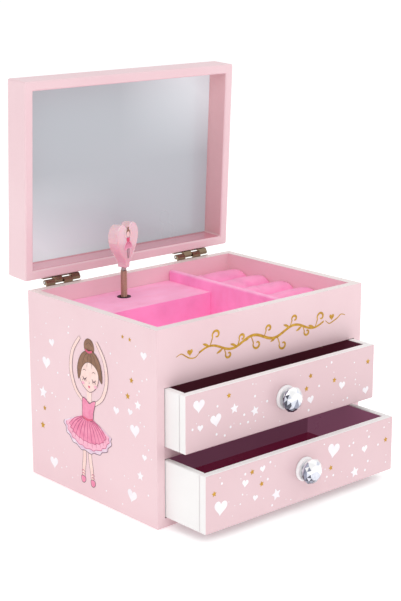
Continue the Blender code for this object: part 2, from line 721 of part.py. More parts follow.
def build_frame():
    """The cast bedplate, with the comb's seat, the bearing lugs and the governor's bridge."""
    lug_top = AXLE_HEIGHT + LUG_RISE
    arm_low = HOUSING_TOP - VELVET_BOARD - BRIDGE_DROP
    arm_high = arm_low + BRIDGE_THICK
    root = PLATE_FOOT + PLATE_THICK / 2
    post_back = WORM_Y - BRIDGE_REACH
    plate = solid("movement_frame", box((PLATE_LEFT, PLATE_FRONT, PLATE_FOOT),
                                        (PLATE_RIGHT, PLATE_BACK, PLATE_TOP)))
    lugs = (
        ((*COMB_SEAT[0], root), (*COMB_SEAT[1], AXLE_HEIGHT - COMB_SEAT_DROP)),
        ((LEFT_LUG_X, STEM.y - LUG_HALF, root),
         (LEFT_LUG_X + LUG_THICK, GOVERNOR_ARBOR_Y + GOVERNOR_LUG_HALF, lug_top)),
        ((RIGHT_LUG_X, STEM.y - LUG_HALF, root),
         (RIGHT_LUG_X + LUG_THICK, STEM.y + LUG_HALF, lug_top)),
        ((GOVERNOR_LUG_X, GOVERNOR_ARBOR_Y - GOVERNOR_LUG_HALF, root),
         (GOVERNOR_LUG_X + LUG_THICK, GOVERNOR_ARBOR_Y + GOVERNOR_LUG_HALF, lug_top)),
        ((BARREL_X - REAR_LUG_HALF, REAR_LUG[0], root),
         (BARREL_X + REAR_LUG_HALF, REAR_LUG[1], AXLE_HEIGHT + REAR_LUG_HALF)),
        ((BARREL_X - FRONT_LUG_HALF, FRONT_LUG_Y, root),
         (BARREL_X + FRONT_LUG_HALF, FRONT_LUG_Y + LUG_THICK, lug_top)),
        ((GOVERNOR_X - BRIDGE_HALF, post_back - LUG_THICK, root),
         (GOVERNOR_X + BRIDGE_HALF, post_back, arm_high)),
    )
    combine(plate, [solid("lug", box(low, high)) for low, high in lugs], "UNION")
    arm = box((GOVERNOR_X - BRIDGE_HALF, post_back - LUG_THICK, arm_low),
              (GOVERNOR_X + BRIDGE_HALF, WORM_Y + BRIDGE_HALF, arm_high))
    combine(plate, [solid("arm", arm)], "UNION")
    combine(plate, [solid("bore", bore) for bore in bearing_bores()], "DIFFERENCE")
    dress(plate, "zinc")


def bearing_bores():
    """The holes that the arbors, the spindle and the governor's shaft turn in."""
    winding_bore = WINDING_RADIUS + 0.25 * MM
    spindle_bore = BEARING_RADIUS + 0.2 * MM
    return (
        aligned(rod(BEARING_RADIUS, -24 * MM, 1 * MM, 16), "X", (0, STEM.y, AXLE_HEIGHT)),
        aligned(rod(BEARING_RADIUS, -43 * MM, -20 * MM, 16), "X", (0, GOVERNOR_ARBOR_Y, AXLE_HEIGHT)),
        aligned(rod(winding_bore, 41 * MM, 60 * MM, 16), "Y", (BARREL_X, 0, AXLE_HEIGHT)),
        aligned(rod(spindle_bore, 0, AXLE_HEIGHT, 16), "Z", STEM),
        aligned(rod(PIVOT_BORE_RADIUS, 0, WIDTH, 12), "Z", (GOVERNOR_X, WORM_Y, 0)),
    )


def build_comb():
    """The steel comb: its slots deepen from the treble to the bass side."""
    left, right = CYLINDER_SPAN
    pitch = (right - left) / COMB_TEETH
    tip = STEM.y - CYLINDER_RADIUS - PIN_HEIGHT - COMB_CLEAR
    slot = COMB_SLOT_SHARE * pitch
    points = [(right, COMB_BACK), (left, COMB_BACK)]
    for tooth in range(COMB_TEETH):
        start = left + pitch * tooth
        root = COMB_ROOT + COMB_ROOT_SLOPE * tooth / COMB_TEETH
        if tooth > 0:
            points.append((start + slot / 2, root))
        points.append((start + (slot / 2 if tooth > 0 else 0), tip))
        end = start + pitch - (slot / 2 if tooth < COMB_TEETH - 1 else 0)
        points.append((end, tip))
        if tooth < COMB_TEETH - 1:
            points.append((end, root))
    place = (0, 0, AXLE_HEIGHT - COMB_THICK / 2)
    middle = Vector(((left + right) / 2, tip, AXLE_HEIGHT))
    dress(solid("comb", aligned(prism(points, 0, COMB_THICK), "Z", place), middle), "steel")


def build_cylinder():
    """The cylinder's arbor with its bevel, wheel and pinion, and the pinned sleeve on it."""
    axle = Vector((0, STEM.y, AXLE_HEIGHT))
    train = pivot("music_train", axle)
    shaft = rod(ARBOR_RADIUS, STEM.x + 1.9 * MM, 3.8 * MM, 16)
    arbor = solid("cylinder_arbor", aligned(shaft, "X", axle))
    wide = BEVEL_TEETH * BEVEL_MODULE / 2
    bevel = gear_outline(BEVEL_TEETH, BEVEL_MODULE, math.pi / 2)
    narrow = (wide - BEVEL_FACE) / wide
    big_end = STEM.x + wide
    parts = [
        flipped_prism(bevel, big_end, big_end - BEVEL_FACE, narrow),
        prism(gear_outline(WHEEL_TEETH, SPUR_MODULE, 0.0), *WHEEL_SPAN),
        prism(gear_outline(PINION_TEETH, CROWN_MODULE, 0.0), *CROWN_PINION_SPAN),
    ]
    combine(arbor, [solid("gear", aligned(part, "X", axle)) for part in parts], "UNION")
    settle(arbor, axle)
    dress(arbor, "brass", train)

    left, right = CYLINDER_SPAN
    skin = tube(ARBOR_RADIUS + 0.2 * MM, CYLINDER_RADIUS, left, right, 36)
    sleeve = solid("music_cylinder", aligned(skin, "X", axle))
    pins = bmesh.new()
    half = 0.22 * MM
    pitch = (right - left) / COMB_TEETH
    for index in range(PIN_COUNT):
        turn = Matrix.Rotation(index * math.pi * (3 - math.sqrt(5)), 4, "X")
        across = left + pitch * (index * 7 % COMB_TEETH + 0.5)
        height = CYLINDER_RADIUS + PIN_HEIGHT / 2 - 0.3 * MM
        size = Matrix.Diagonal((2 * half, 2 * half, PIN_HEIGHT + 0.6 * MM, 1))
        frame = Matrix.Translation(axle) @ turn @ Matrix.Translation((across, 0, height)) @ size
        bmesh.ops.create_cube(pins, size=1, matrix=frame)
    combine(sleeve, [solid("pins", pins)], "UNION")
    settle(sleeve, axle)
    dress(sleeve, "brass", train)


def flipped_prism(outline, low, high, taper):
    """A tapered prism whose narrow end lies at high, on either side of low."""
    bm = prism(outline, 0, abs(high - low), taper)
    if high < low:
        bmesh.ops.scale(bm, vec=(1, 1, -1), verts=bm.verts)
    bmesh.ops.translate(bm, vec=(0, 0, low), verts=bm.verts)
    return bm


def settle(item, origin):
    """Move an object's origin to a point on its axis, leaving its mesh where it is."""
    item.data.transform(Matrix.Translation(-Vector(origin)))
    item.location = origin


def build_spindle():
    """The upright spindle: pivot, bevel, collar and the pin that carries the spring."""
    wide = BEVEL_TEETH * BEVEL_MODULE / 2
    collar = 112.6 * MM
    spindle = solid("spindle", aligned(turned([
        (0, PLATE_FOOT + GAP), (ARBOR_RADIUS, PLATE_FOOT + GAP), (ARBOR_RADIUS, AXLE_HEIGHT + wide),
        (1.3 * MM, AXLE_HEIGHT + wide), (1.3 * MM, collar), (2.4 * MM, collar),
        (2.4 * MM, SPRING_FOOT - GAP), (1.2 * MM, SPRING_FOOT - GAP), (1.2 * MM, SPINDLE_TOP),
        (0, SPINDLE_TOP)], 16), "Z", STEM))
    half_tooth = math.pi / BEVEL_TEETH
    bevel = flipped_prism(gear_outline(BEVEL_TEETH, BEVEL_MODULE, half_tooth), AXLE_HEIGHT + wide,
                          AXLE_HEIGHT + wide - BEVEL_FACE, (wide - BEVEL_FACE) / wide)
    combine(spindle, [solid("bevel", aligned(bevel, "Z", STEM))], "UNION")
    settle(spindle, (STEM.x, STEM.y, AXLE_HEIGHT))
    dress(spindle, "steel")


def build_barrel():
    """The spring barrel with its crown teeth, the mainspring, the winding arbor and the key."""
    axle = Vector((BARREL_X, 0, AXLE_HEIGHT))
    front, rear = BARREL_SPAN
    wall = 0.6 * MM
    web = 1.4 * MM
    bore = WINDING_RADIUS + 0.25 * MM
    profile = [(bore, front), (CROWN_RADIUS + 0.8 * MM, front), (BARREL_RADIUS, front + wall),
               (BARREL_RADIUS, rear), (BARREL_RADIUS - wall, rear), (BARREL_RADIUS - wall, front + web),
               (bore, front + web)]
    barrel = solid("spring_barrel", aligned(turned(profile, 32, closed=True), "Y", axle))
    combine(barrel, [solid("crown", crown_teeth(axle, front))], "UNION")
    settle(barrel, axle + Vector((0, front, 0)))
    dress(barrel, "brass", smooth=30)

    spring = aligned(prism(spiral_outline(2.3 * MM, BARREL_RADIUS - wall - GAP, 0.25 * MM),
                           front + web + GAP, rear - GAP), "Y", axle)
    dress(solid("mainspring", spring, axle + Vector((0, front, 0))), "steel")

    key_start = DEPTH / 2 + KEY_STAND_OFF
    arbor = rod(WINDING_RADIUS, 42.2 * MM, key_start + 5 * MM, 16)
    dress(solid("winding_arbor", aligned(arbor, "Y", axle), axle + Vector((0, rear, 0))), "steel",
          smooth=40)
    build_key(axle, key_start)


def crown_teeth(axle, front):
    """Radial teeth on the barrel's front face; a gap faces the pinion."""
    teeth = bmesh.new()
    height = 1.0 * MM
    root = 0.3 * MM
    for tooth in range(WHEEL_TEETH):
        turn = Matrix.Rotation(math.tau * (tooth + 0.5) / WHEEL_TEETH, 4, "Y")
        cube = bmesh.ops.create_cube(teeth, size=1)
        for vert in cube["verts"]:
            tip = vert.co.y < 0
            half = (0.20 if tip else 0.40) * MM
            vert.co = Vector((CROWN_RADIUS + math.copysign(0.8 * MM, vert.co.x),
                              front - height if tip else front + root,
                              math.copysign(half, vert.co.z)))
            vert.co = Vector(axle) + turn @ vert.co
    return teeth


def spiral_outline(inner, outer, thick):
    """A flat spiral strip, wound outwards from inner to outer, as a closed outline."""
    steps = MAINSPRING_TURNS * 16
    inside, outside = [], []
    for step in range(steps + 1):
        angle = math.tau * MAINSPRING_TURNS * step / steps
        radius = inner + (outer - thick - inner) * step / steps
        inside.append((radius * math.cos(angle), radius * math.sin(angle)))
        outside.append(((radius + thick) * math.cos(angle), (radius + thick) * math.sin(angle)))
    return inside + outside[::-1]


def build_key(axle, start):
    """The butterfly key: a hub and two round wings with a hole in each."""
    bottom = start + KEY_BORE_DEPTH
    end = start + KEY_HUB_LENGTH
    bore = WINDING_RADIUS + GAP
    hub = solid("winding_key", aligned(turned([
        (0, bottom), (bore, bottom), (bore, start), (KEY_HUB_RADIUS, start),
        (KEY_HUB_RADIUS, end - KEY_CHAMFER), (KEY_HUB_TIP, end), (0, end)], 20), "Y", axle))
    wings = []
    for sign in (-1, 1):
        centre = Vector((axle.x + sign * KEY_WING_ACROSS, start + KEY_WING_ALONG, axle.z))
        disc = rod(KEY_WING_RADIUS, -KEY_WING_HALF, KEY_WING_HALF, 28)
        wing = solid("wing", aligned(disc, "Z", centre))
        place = centre + Vector((sign * KEY_EYE_SHIFT, 0, 0))
        eye = solid("eye", aligned(rod(KEY_EYE_RADIUS, -DEPTH, DEPTH, 16), "Z", place))
        wings.append(combine(wing, [eye], "DIFFERENCE"))
    combine(hub, wings, "UNION")
    settle(hub, axle + Vector((0, start, 0)))
    dress(hub, "steel", smooth=30)


def build_governor():
    """The wheel arbor that the cylinder drives, the worm it turns, and the air brake."""
    axle = Vector((0, GOVERNOR_ARBOR_Y, AXLE_HEIGHT))
    arbor = solid("governor_arbor", aligned(rod(ARBOR_RADIUS, -42 * MM, -18.9 * MM, 16), "X", axle))
    half_pinion = math.pi / PINION_TEETH
    half_worm = math.pi / WORM_TEETH
    width = 1 * MM
    parts = (
        prism(gear_outline(PINION_TEETH, SPUR_MODULE, math.pi + half_pinion), *WHEEL_SPAN),
        prism(gear_outline(WORM_TEETH, WORM_MODULE, math.pi + half_worm), GOVERNOR_X - width,
              GOVERNOR_X + width),
    )
    combine(arbor, [solid("gear", aligned(part, "X", axle)) for part in parts], "UNION")
    settle(arbor, axle)
    dress(arbor, "brass")

    place = Vector((GOVERNOR_X, WORM_Y, AXLE_HEIGHT))
    worm = pivot("governor_spin", place)
    dress(solid("governor_worm", aligned(worm_mesh(), "Z", place), place), "steel", worm, 30)
    build_air_brake(place, worm)


def worm_mesh():
    """A single-start right-hand worm on its shaft, as rings whose radius follows the thread."""
    around, along = 16, 28
    lead = math.pi * WORM_MODULE
    crest = WORM_RADIUS + 0.5 * MM
    root = WORM_RADIUS - 0.7 * MM
    pivot_radius = 0.55 * MM
    low, high = -WORM_LENGTH / 2, WORM_LENGTH / 2
    foot = PLATE_FOOT + GAP - AXLE_HEIGHT
    head = HOUSING_TOP - VELVET_BOARD - 0.7 * MM - AXLE_HEIGHT
    levels = [(foot, None, pivot_radius), (low, None, pivot_radius)]
    levels += [(low + WORM_LENGTH * step / along, True, 0) for step in range(along + 1)]
    levels += [(high, None, pivot_radius), (head, None, pivot_radius)]
    bm = bmesh.new()
    rings = []
    for height, threaded, plain in levels:
        ring = []
        for step in range(around):
            angle = math.tau * step / around
            radius = plain
            if threaded:
                # The crest passes the +Y side, where the worm wheel is, at height zero.
                phase = (height / lead - (angle - math.pi / 2) / math.tau) % 1.0
                ridge = max(0.0, 1 - abs((phase + 0.5) % 1.0 - 0.5) / 0.24)
                radius = root + (crest - root) * min(1.0, 1.6 * ridge)
            ring.append(bm.verts.new((radius * math.cos(angle), radius * math.sin(angle), height)))
        rings.append(ring)
    for lower, upper in zip(rings, rings[1:]):
        bridge(bm, lower, upper, around)
    bm.faces.new(rings[0])
    bm.faces.new(rings[-1])
    return bm


def build_air_brake(place, parent):
    """A hub with two vanes, on the governor's shaft above the worm."""
    low, high = (level - place.z for level in BRAKE_SPAN)
    sleeve = tube(PIVOT_BORE_RADIUS, BRAKE_HUB_RADIUS, low, high, 16)
    hub = solid("air_brake", aligned(sleeve, "Z", place))
    vanes = []
    for near, far in ((-VANE_FAR, -VANE_NEAR), (VANE_NEAR, VANE_FAR)):
        vanes.append(solid("vane", box((place.x + near, place.y - VANE_HALF, place.z + low),
                                       (place.x + far, place.y + VANE_HALF, place.z + high))))
    combine(hub, vanes, "UNION")
    settle(hub, place)
    dress(hub, "black_plastic", parent)


def build_stop_wire():
    """The wire that the closing lid presses down; its foot bears on the governor's arbor."""
    drop = 110.2 * MM
    top = STOP_WIRE
    foot_y = GOVERNOR_ARBOR_Y
    points = [top, (top.x, top.y, drop + 1 * MM), (top.x - 1 * MM, top.y, drop), (-25.5 * MM, top.y, drop),
              (-28 * MM, foot_y + 0.6 * MM, drop), (-29 * MM, foot_y, drop), (-32 * MM, foot_y, drop)]
    item = wire("stop_wire", [Vector(point) - top for point in points], STOP_WIRE_RADIUS)
    item.location = top
    item.data.materials.append(finish("steel"))


def build():
    clear_scene()
    build_case()
    build_tray()
    for name, sizes in DRAWERS.items():
        build_drawer(name, **sizes)
    lid_pivot = pivot("lid_hinge", HINGE_AXIS, (-LID_OPEN, 0, 0))
    build_lid(lid_pivot)
    build_hinges(lid_pivot)
    build_figure()
    build_frame()
    build_comb()
    build_cylinder()
    build_spindle()
    build_barrel()
    build_governor()
    build_stop_wire()


build()
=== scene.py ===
"""Looks of the ballerina jewellery box: paint, velvet, print, mirror, crystal and metal."""

import json
import math
import random

import bmesh
import bpy
from mathutils import Matrix, Vector


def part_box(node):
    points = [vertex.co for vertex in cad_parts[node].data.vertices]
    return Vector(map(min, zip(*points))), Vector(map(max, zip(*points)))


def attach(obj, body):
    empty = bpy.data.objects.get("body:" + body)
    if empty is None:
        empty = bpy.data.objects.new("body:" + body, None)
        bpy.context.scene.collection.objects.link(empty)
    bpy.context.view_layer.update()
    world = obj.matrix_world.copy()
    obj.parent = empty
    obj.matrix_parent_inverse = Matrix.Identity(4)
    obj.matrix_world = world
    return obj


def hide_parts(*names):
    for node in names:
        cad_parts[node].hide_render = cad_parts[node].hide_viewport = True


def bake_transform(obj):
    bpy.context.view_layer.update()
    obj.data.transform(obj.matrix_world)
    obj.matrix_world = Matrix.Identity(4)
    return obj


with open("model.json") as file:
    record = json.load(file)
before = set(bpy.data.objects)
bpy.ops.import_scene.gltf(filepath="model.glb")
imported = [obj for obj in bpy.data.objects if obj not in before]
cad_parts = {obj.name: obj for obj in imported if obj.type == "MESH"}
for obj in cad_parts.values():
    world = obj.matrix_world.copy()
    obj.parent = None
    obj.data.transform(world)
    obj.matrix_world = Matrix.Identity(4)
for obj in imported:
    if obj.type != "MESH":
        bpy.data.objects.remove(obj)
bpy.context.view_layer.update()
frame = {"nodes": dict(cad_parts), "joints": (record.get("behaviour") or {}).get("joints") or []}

MM = 0.001
LID_OPEN = math.radians(87.3)
HEART_YAW = math.radians(19.4)
ROLLS = 5

# A face points along an axis when that part of its normal is more than this.
FACING = 0.9

# Form of the ring rolls before they are inflated.
ROLL_SIDE_GAP = 0.25 * MM
ROLL_SHOULDER = 13.5 * MM
ROLL_POWER = 2 / 2.35
ROLL_PUCKER = 0.05

# Cloth of the ring rolls.
CLOTH_SCALE = 20
CLOTH_PRESSURE = 4.0
CLOTH_SLACK = 0.04
CLOTH_FRAMES = 30
ROLL_PIN_RISE = 6 * MM
ROLL_PIN_END = 0.6 * MM
ROLL_MARGIN = 0.1 * MM
ROLL_SLACK_DROP = 1.8 * MM

# Screw heads: number of sides, then radius and height of each ring in millimetres.
SCREW_SIDES = 20
SCREW_RINGS = ((1.25, 0.0), (1.2, 0.28), (0.8, 0.42))

# Height of a print's lowest layer above its face, and of each layer above that, in millimetres.
PRINT_LIFT = 0.04
LAYER_LIFT = 0.012

# The header's vine: height, swing, left end and length in millimetres, its steps, and steps in a wave.
VINE_HEIGHT = 107.2
VINE_SWING = 2.6
VINE_START = -56
VINE_LENGTH = 110
VINE_STEPS = 40
VINE_WAVE = 13.3


def joint(name):
    return next(item for item in frame["joints"] if item["name"] == name)


# --- Materials ---------------------------------------------------------------

def linear(red, green, blue):
    """sRGB bytes to the linear colour that a shader takes."""
    out = []
    for value in (red, green, blue):
        share = value / 255
        out.append(share / 12.92 if share <= 0.04045 else ((share + 0.055) / 1.055) ** 2.4)
    return (*out, 1.0)


class Look:
    """A Principled material and short ways to add procedural detail to it."""

    def __init__(self, name, colour, rough, metal=0.0, **inputs):
        self.material = bpy.data.materials.new(name)
        self.material.use_nodes = True
        self.tree = self.material.node_tree
        self.shader = self.tree.nodes["Principled BSDF"]
        self.colour = linear(*colour)
        self.rough = rough
        self.shader.inputs["Base Color"].default_value = self.colour
        self.shader.inputs["Roughness"].default_value = rough
        self.shader.inputs["Metallic"].default_value = metal
        for key, value in inputs.items():
            self.shader.inputs[key.replace("_", " ").title().replace("Ior", "IOR")].default_value = value
        self.normal = None

    def node(self, kind, **values):
        node = self.tree.nodes.new(kind)
        for key, value in values.items():
            if key in node.inputs:
                node.inputs[key].default_value = value
            else:
                setattr(node, key, value)
        return node

    def link(self, start, end):
        self.tree.links.new(start, end)

    def coords(self, stretch=(1, 1, 1)):
        place = self.node("ShaderNodeMapping")
        place.inputs["Scale"].default_value = stretch
        self.link(self.node("ShaderNodeTexCoord").outputs["Object"], place.inputs["Vector"])
        return place.outputs["Vector"]

    def noise(self, scale, detail=3.0, stretch=(1, 1, 1)):
        noise = self.node("ShaderNodeTexNoise", Scale=scale, Detail=detail)
        self.link(self.coords(stretch), noise.inputs["Vector"])
        return noise.outputs["Fac"]

    def ramp(self, source, stops):
        """Map a value to colours; stops are (position, colour)."""
        ramp = self.node("ShaderNodeValToRGB")
        elements = ramp.color_ramp.elements
        while len(elements) < len(stops):
            elements.new(0.5)
        for element, (position, colour) in zip(elements, stops):
            element.position = position
            element.color = colour
        self.link(source, ramp.inputs["Fac"])
        return ramp.outputs["Color"]

    def tint(self, scale, other, stretch=(1, 1, 1)):
        """Drift between the base colour and another one."""
        drift = self.noise(scale, stretch=stretch)
        colour = self.ramp(drift, [(0.35, self.colour), (0.65, linear(*other))])
        self.link(colour, self.shader.inputs["Base Color"])
        return self

    def roughen(self, scale, spread, stretch=(1, 1, 1)):
        span = self.node("ShaderNodeMapRange")
        span.inputs["From Min"].default_value = 0.3
        span.inputs["From Max"].default_value = 0.7
        span.inputs["To Min"].default_value = max(0.0, self.rough - spread)
        span.inputs["To Max"].default_value = min(1.0, self.rough + spread)
        self.link(self.noise(scale, stretch=stretch), span.inputs["Value"])
        self.link(span.outputs["Result"], self.shader.inputs["Roughness"])
        return self

    def bump(self, scale, strength, depth, detail=3.0, stretch=(1, 1, 1)):
        bump = self.node("ShaderNodeBump", Strength=strength, Distance=depth)
        self.link(self.noise(scale, detail, stretch), bump.inputs["Height"])
        if self.normal is not None:
            self.link(self.normal, bump.inputs["Normal"])
        self.normal = bump.outputs["Normal"]
        self.link(self.normal, self.shader.inputs["Normal"])
        return self


def paint(name, colour, other, rough=0.36, gloss=0.12):
    """Sprayed satin paint: faint clouding and orange peel."""
    look = Look(name, colour, rough, coat_weight=gloss, coat_roughness=0.12)
    return look.tint(14, other).roughen(60, 0.06).bump(900, 0.08, 0.0002).bump(60, 0.05, 0.0004)


def add_glow(look, colour, strength):
    """Painted light: give a look a glow of its own, as in a studio lit flat from all sides; on the floor it
    is only an even brightness.
    """
    look.shader.inputs["Emission Color"].default_value = linear(*colour)
    look.shader.inputs["Emission Strength"].default_value = strength
    return look


def velvet(name, deep, light):
    """Flock velvet: upward faces painted lighter as if lit from above, brushed patches and a fine pile."""
    look = Look(name, deep, 0.95, sheen_weight=0.55, sheen_roughness=0.45)
    look.shader.inputs["Sheen Tint"].default_value = linear(255, 205, 228)
    parts = look.node("ShaderNodeSeparateXYZ")
    look.link(look.node("ShaderNodeTexCoord").outputs["Normal"], parts.inputs["Vector"])
    # Painted light: the colour runs from deep on side faces to light on upward faces.
    painted_top_light = look.ramp(parts.outputs["Z"], [(0.1, look.colour), (0.95, linear(*light))])
    brushed = look.node("ShaderNodeMix", data_type="RGBA", blend_type="MULTIPLY")
    brushed.inputs["Factor"].default_value = 1.0
    patches = look.ramp(look.noise(55, 6.0, (1, 1.6, 1)),
                        [(0.3, (0.82, 0.76, 0.80, 1)), (0.66, (1, 1, 1, 1))])
    look.link(painted_top_light, brushed.inputs["A"])
    look.link(patches, brushed.inputs["B"])
    look.link(brushed.outputs["Result"], look.shader.inputs["Base Color"])
    return look.bump(4200, 0.35, 0.0003, 6.0).bump(160, 0.12, 0.0006)


def metal(name, colour, rough, scale=300, stretch=(1, 1, 12)):
    look = Look(name, colour, rough, 1.0)
    return look.roughen(scale, 0.08, stretch).bump(scale * 3, 0.06, 0.0001, stretch=stretch)


def mirror_look():
    """Silvered glass with a painted reflection: the soft crossed fades of a bright room, given off as a
    glow.
    """
    look = Look("mirror_glass", (140, 148, 154), 0.3, 0.05, coat_weight=0.2, coat_roughness=0.04)
    parts = look.node("ShaderNodeSeparateXYZ")
    look.link(look.node("ShaderNodeTexCoord").outputs["Generated"], parts.inputs["Vector"])
    across = look.node("ShaderNodeMath", operation="SUBTRACT")
    up = look.node("ShaderNodeMath", operation="SUBTRACT")
    crossed = look.node("ShaderNodeMath", operation="MULTIPLY")
    share = look.node("ShaderNodeMath", operation="MULTIPLY_ADD")
    for node, axis in ((across, "X"), (up, "Z")):
        look.link(parts.outputs[axis], node.inputs[0])
        node.inputs[1].default_value = 0.5
    look.link(across.outputs["Value"], crossed.inputs[0])
    look.link(up.outputs["Value"], crossed.inputs[1])
    look.link(crossed.outputs["Value"], share.inputs[0])
    share.inputs[1].default_value = 3.0
    share.inputs[2].default_value = 0.5
    # Painted reflection: lighter towards two opposite corners, darker towards the other two, given off as a
    # glow.
    painted_reflection = look.ramp(share.outputs["Value"], [(0.0, linear(176, 177, 182)), (0.5, linear(179, 180, 184)),
                                              (1.0, linear(250, 249, 253))])
    look.link(painted_reflection, look.shader.inputs["Emission Color"])
    look.shader.inputs["Emission Strength"].default_value = 0.5
    return look.roughen(20, 0.03)


def make_looks():
    looks = {
        "pink": paint("pink_satin", (240, 209, 214), (237, 203, 209)),
        "pink_front": paint("pink_front", (231, 201, 206), (228, 196, 201)),
        # Painted light: the tray's inner walls glow a little, lifting them out of their shade.
        "pink_inner": add_glow(paint("pink_inner", (236, 202, 208), (232, 196, 202)), (236, 186, 196), 0.07),
        "pink_lid": paint("pink_lid_inner", (236, 190, 193), (230, 182, 186), 0.2, 0.7),
        # Painted shade: a darker copy of the lid paint for the lid's lower inner wall.
        "pink_lid_low": paint("pink_lid_low", (232, 150, 166), (226, 142, 158), 0.16, 0.8),
        # The rim's upward faces are paler: partly the pale edge of the board, partly a painted highlight.
        "rim": paint("rim_cream", (246, 234, 231), (240, 224, 222), 0.3),
        "white": paint("white_satin", (247, 246, 245), (242, 240, 239), 0.4),
        "bay": paint("bay_dark", (86, 30, 48), (70, 20, 38), 0.6),
        # Painted light: the lower drawer's lining and floor glow, lifting them out of the drawer's shade.
        "burgundy": add_glow(paint("burgundy_wall", (132, 80, 104), (120, 70, 94), 0.4), (121, 74, 96), 0.34),
        "floor": add_glow(paint("burgundy_floor", (128, 10, 62), (112, 6, 52), 0.22), (112, 8, 50), 0.3),
        # Painted shade: a darker copy of the floor for the upper drawer, which the header shades, with a
        # weaker glow.
        "floor_shaded": add_glow(paint("burgundy_floor_shaded", (96, 24, 46), (84, 18, 40), 0.3),
                             (121, 54, 68), 0.12),
        # Painted shade: a darker copy of the lining for the upper drawer, with a weaker glow.
        "burgundy_deep": add_glow(paint("burgundy_wall_shaded", (104, 46, 68), (92, 38, 60), 0.4),
                                (121, 60, 72), 0.12),
        # Painted light: a lighter copy of the lining for the lower drawer's side walls, where light falls,
        # with a stronger glow.
        "burgundy_side": add_glow(paint("burgundy_wall_lit_side", (138, 88, 112), (128, 78, 102), 0.3, 0.5),
                                (124, 78, 100), 0.6),
        # Painted light: the velvet glows a little, lifting it out of the tray's shade.
        "velvet": add_glow(velvet("pink_velvet", (252, 160, 212), (250, 182, 214)), (252, 134, 192), 0.16),
        "velvet_roll": add_glow(velvet("roll_velvet", (250, 138, 198), (250, 166, 204)),
                              (248, 118, 180), 0.15),
        "mirror": mirror_look(),
        "hinge": metal("hinge_nickel", (138, 118, 98), 0.1, stretch=(12, 1, 1)),
        "stem": metal("stem_bronze", (206, 172, 152), 0.34),
        "brass": metal("movement_brass", (214, 170, 92), 0.3),
        "steel": metal("bright_steel", (196, 197, 200), 0.26),
        "zinc": metal("cast_zinc", (168, 170, 174), 0.5, 120, (1, 1, 1)).bump(260, 0.3, 0.0004),
        "dowel": Look("dowel_wood", (150, 112, 86), 0.6).tint(90, (118, 84, 62), stretch=(1, 1, 0.15))
                 .bump(500, 0.2, 0.0003, stretch=(1, 1, 0.1)),
        "black": Look("black_moulding", (20, 18, 20), 0.5).roughen(200, 0.1).bump(1500, 0.1, 0.0001),
        "seat": Look("knob_moulding", (246, 245, 246), 0.26, coat_weight=0.3).roughen(90, 0.05)
                .bump(700, 0.04, 0.0001),
        "heart": Look("heart_gloss", (234, 197, 204), 0.12, coat_weight=0.8, subsurface_weight=0.25,
                      subsurface_scale=0.004).tint(60, (240, 206, 212)).bump(400, 0.03, 0.0001),
        "neck": Look("neck_moulding", (176, 164, 162), 0.3).roughen(200, 0.06).bump(900, 0.05, 0.0001),
        "gold": Look("gold_print", (214, 164, 44), 0.42, 0.25).tint(420, (184, 132, 24)).roughen(900, 0.12)
                .bump(1600, 0.2, 0.0001),
        "ink_white": Look("white_print", (253, 249, 252), 0.45).tint(120, (248, 242, 248))
                     .bump(1500, 0.05, 0.0001),
    }
    inks = {
        "skin": ((252, 224, 216), (250, 214, 206)), "hair": ((150, 106, 78), (128, 88, 62)),
        "hair_line": ((96, 62, 42), (82, 52, 36)), "dress": ((244, 150, 182), (236, 128, 166)),
        "dress_light": ((250, 190, 210), (247, 176, 200)), "dress_line": ((206, 84, 130), (190, 72, 118)),
        "lace": ((244, 226, 238), (224, 190, 214)), "mauve": ((146, 112, 122), (120, 86, 98)),
        "line": ((108, 70, 84), (92, 58, 72)), "rose": ((232, 96, 132), (220, 80, 118)),
    }
    for name, (colour, other) in inks.items():
        looks[name] = Look(f"ink_{name}", colour, 0.45).tint(260, other).bump(1500, 0.05, 0.0001)
    # Crystal facets: four shades of painted light and shade, from highlight to deep shadow.
    for index, shade in enumerate(((252, 252, 254), (206, 210, 222), (122, 126, 146), (46, 48, 66))):
        facet = Look(f"crystal_facet_{index}", shade, 0.04, 0.35, coat_weight=1.0, coat_roughness=0.02)
        looks[f"facet_{index}"] = facet.tint(500, tuple(min(255, v + 24) for v in shade))
    return {name: look.material for name, look in looks.items()}


LOOKS = make_looks()


# --- Mesh helpers ------------------------------------------------------------

def to_object(name, bm, looks, smooth=None):
    mesh = bpy.data.meshes.new(name)
    bm.to_mesh(mesh)
    bm.free()
    item = bpy.data.objects.new(name, mesh)
    bpy.context.scene.collection.objects.link(item)
    for look in looks:
        mesh.materials.append(LOOKS[look])
    if smooth is not None:
        mesh.shade_smooth()
        mesh.set_sharp_from_angle(angle=math.radians(smooth))
    return item


def coat(mesh, look):
    """Give a whole mesh one look."""
    mesh.materials.clear()
    mesh.materials.append(LOOKS[look])


def join_rings(bm, rings):
    """Join each ring of points to the next with a band of faces."""
    for near, far in zip(rings, rings[1:]):
        count = len(near)
        for i in range(count):
            ahead = (i + 1) % count
            bm.faces.new((near[i], near[ahead], far[ahead], far[i]))


def block(low, high):
    bm = bmesh.new()
    low, high = Vector(low), Vector(high)
    bmesh.ops.create_cube(bm, size=1, matrix=Matrix.Translation((low + high) / 2)
                          @ Matrix.Diagonal((*(high - low), 1)))
    return to_object("block", bm, [])


def bake(item):
    """Apply an object's modifiers to its mesh."""
    bpy.context.view_layer.update()
    graph = bpy.context.evaluated_depsgraph_get()
    mesh = bpy.data.meshes.new_from_object(item.evaluated_get(graph))
    item.modifiers.clear()
    item.data = mesh
    return item


def cut(item, tools):
    for tool in tools:
        modifier = item.modifiers.new("cut", "BOOLEAN")
        modifier.operation = "DIFFERENCE"
        modifier.solver = "EXACT"
        modifier.object = tool
    bake(item)
    for tool in tools:
        bpy.data.objects.remove(tool, do_unlink=True)
    return item


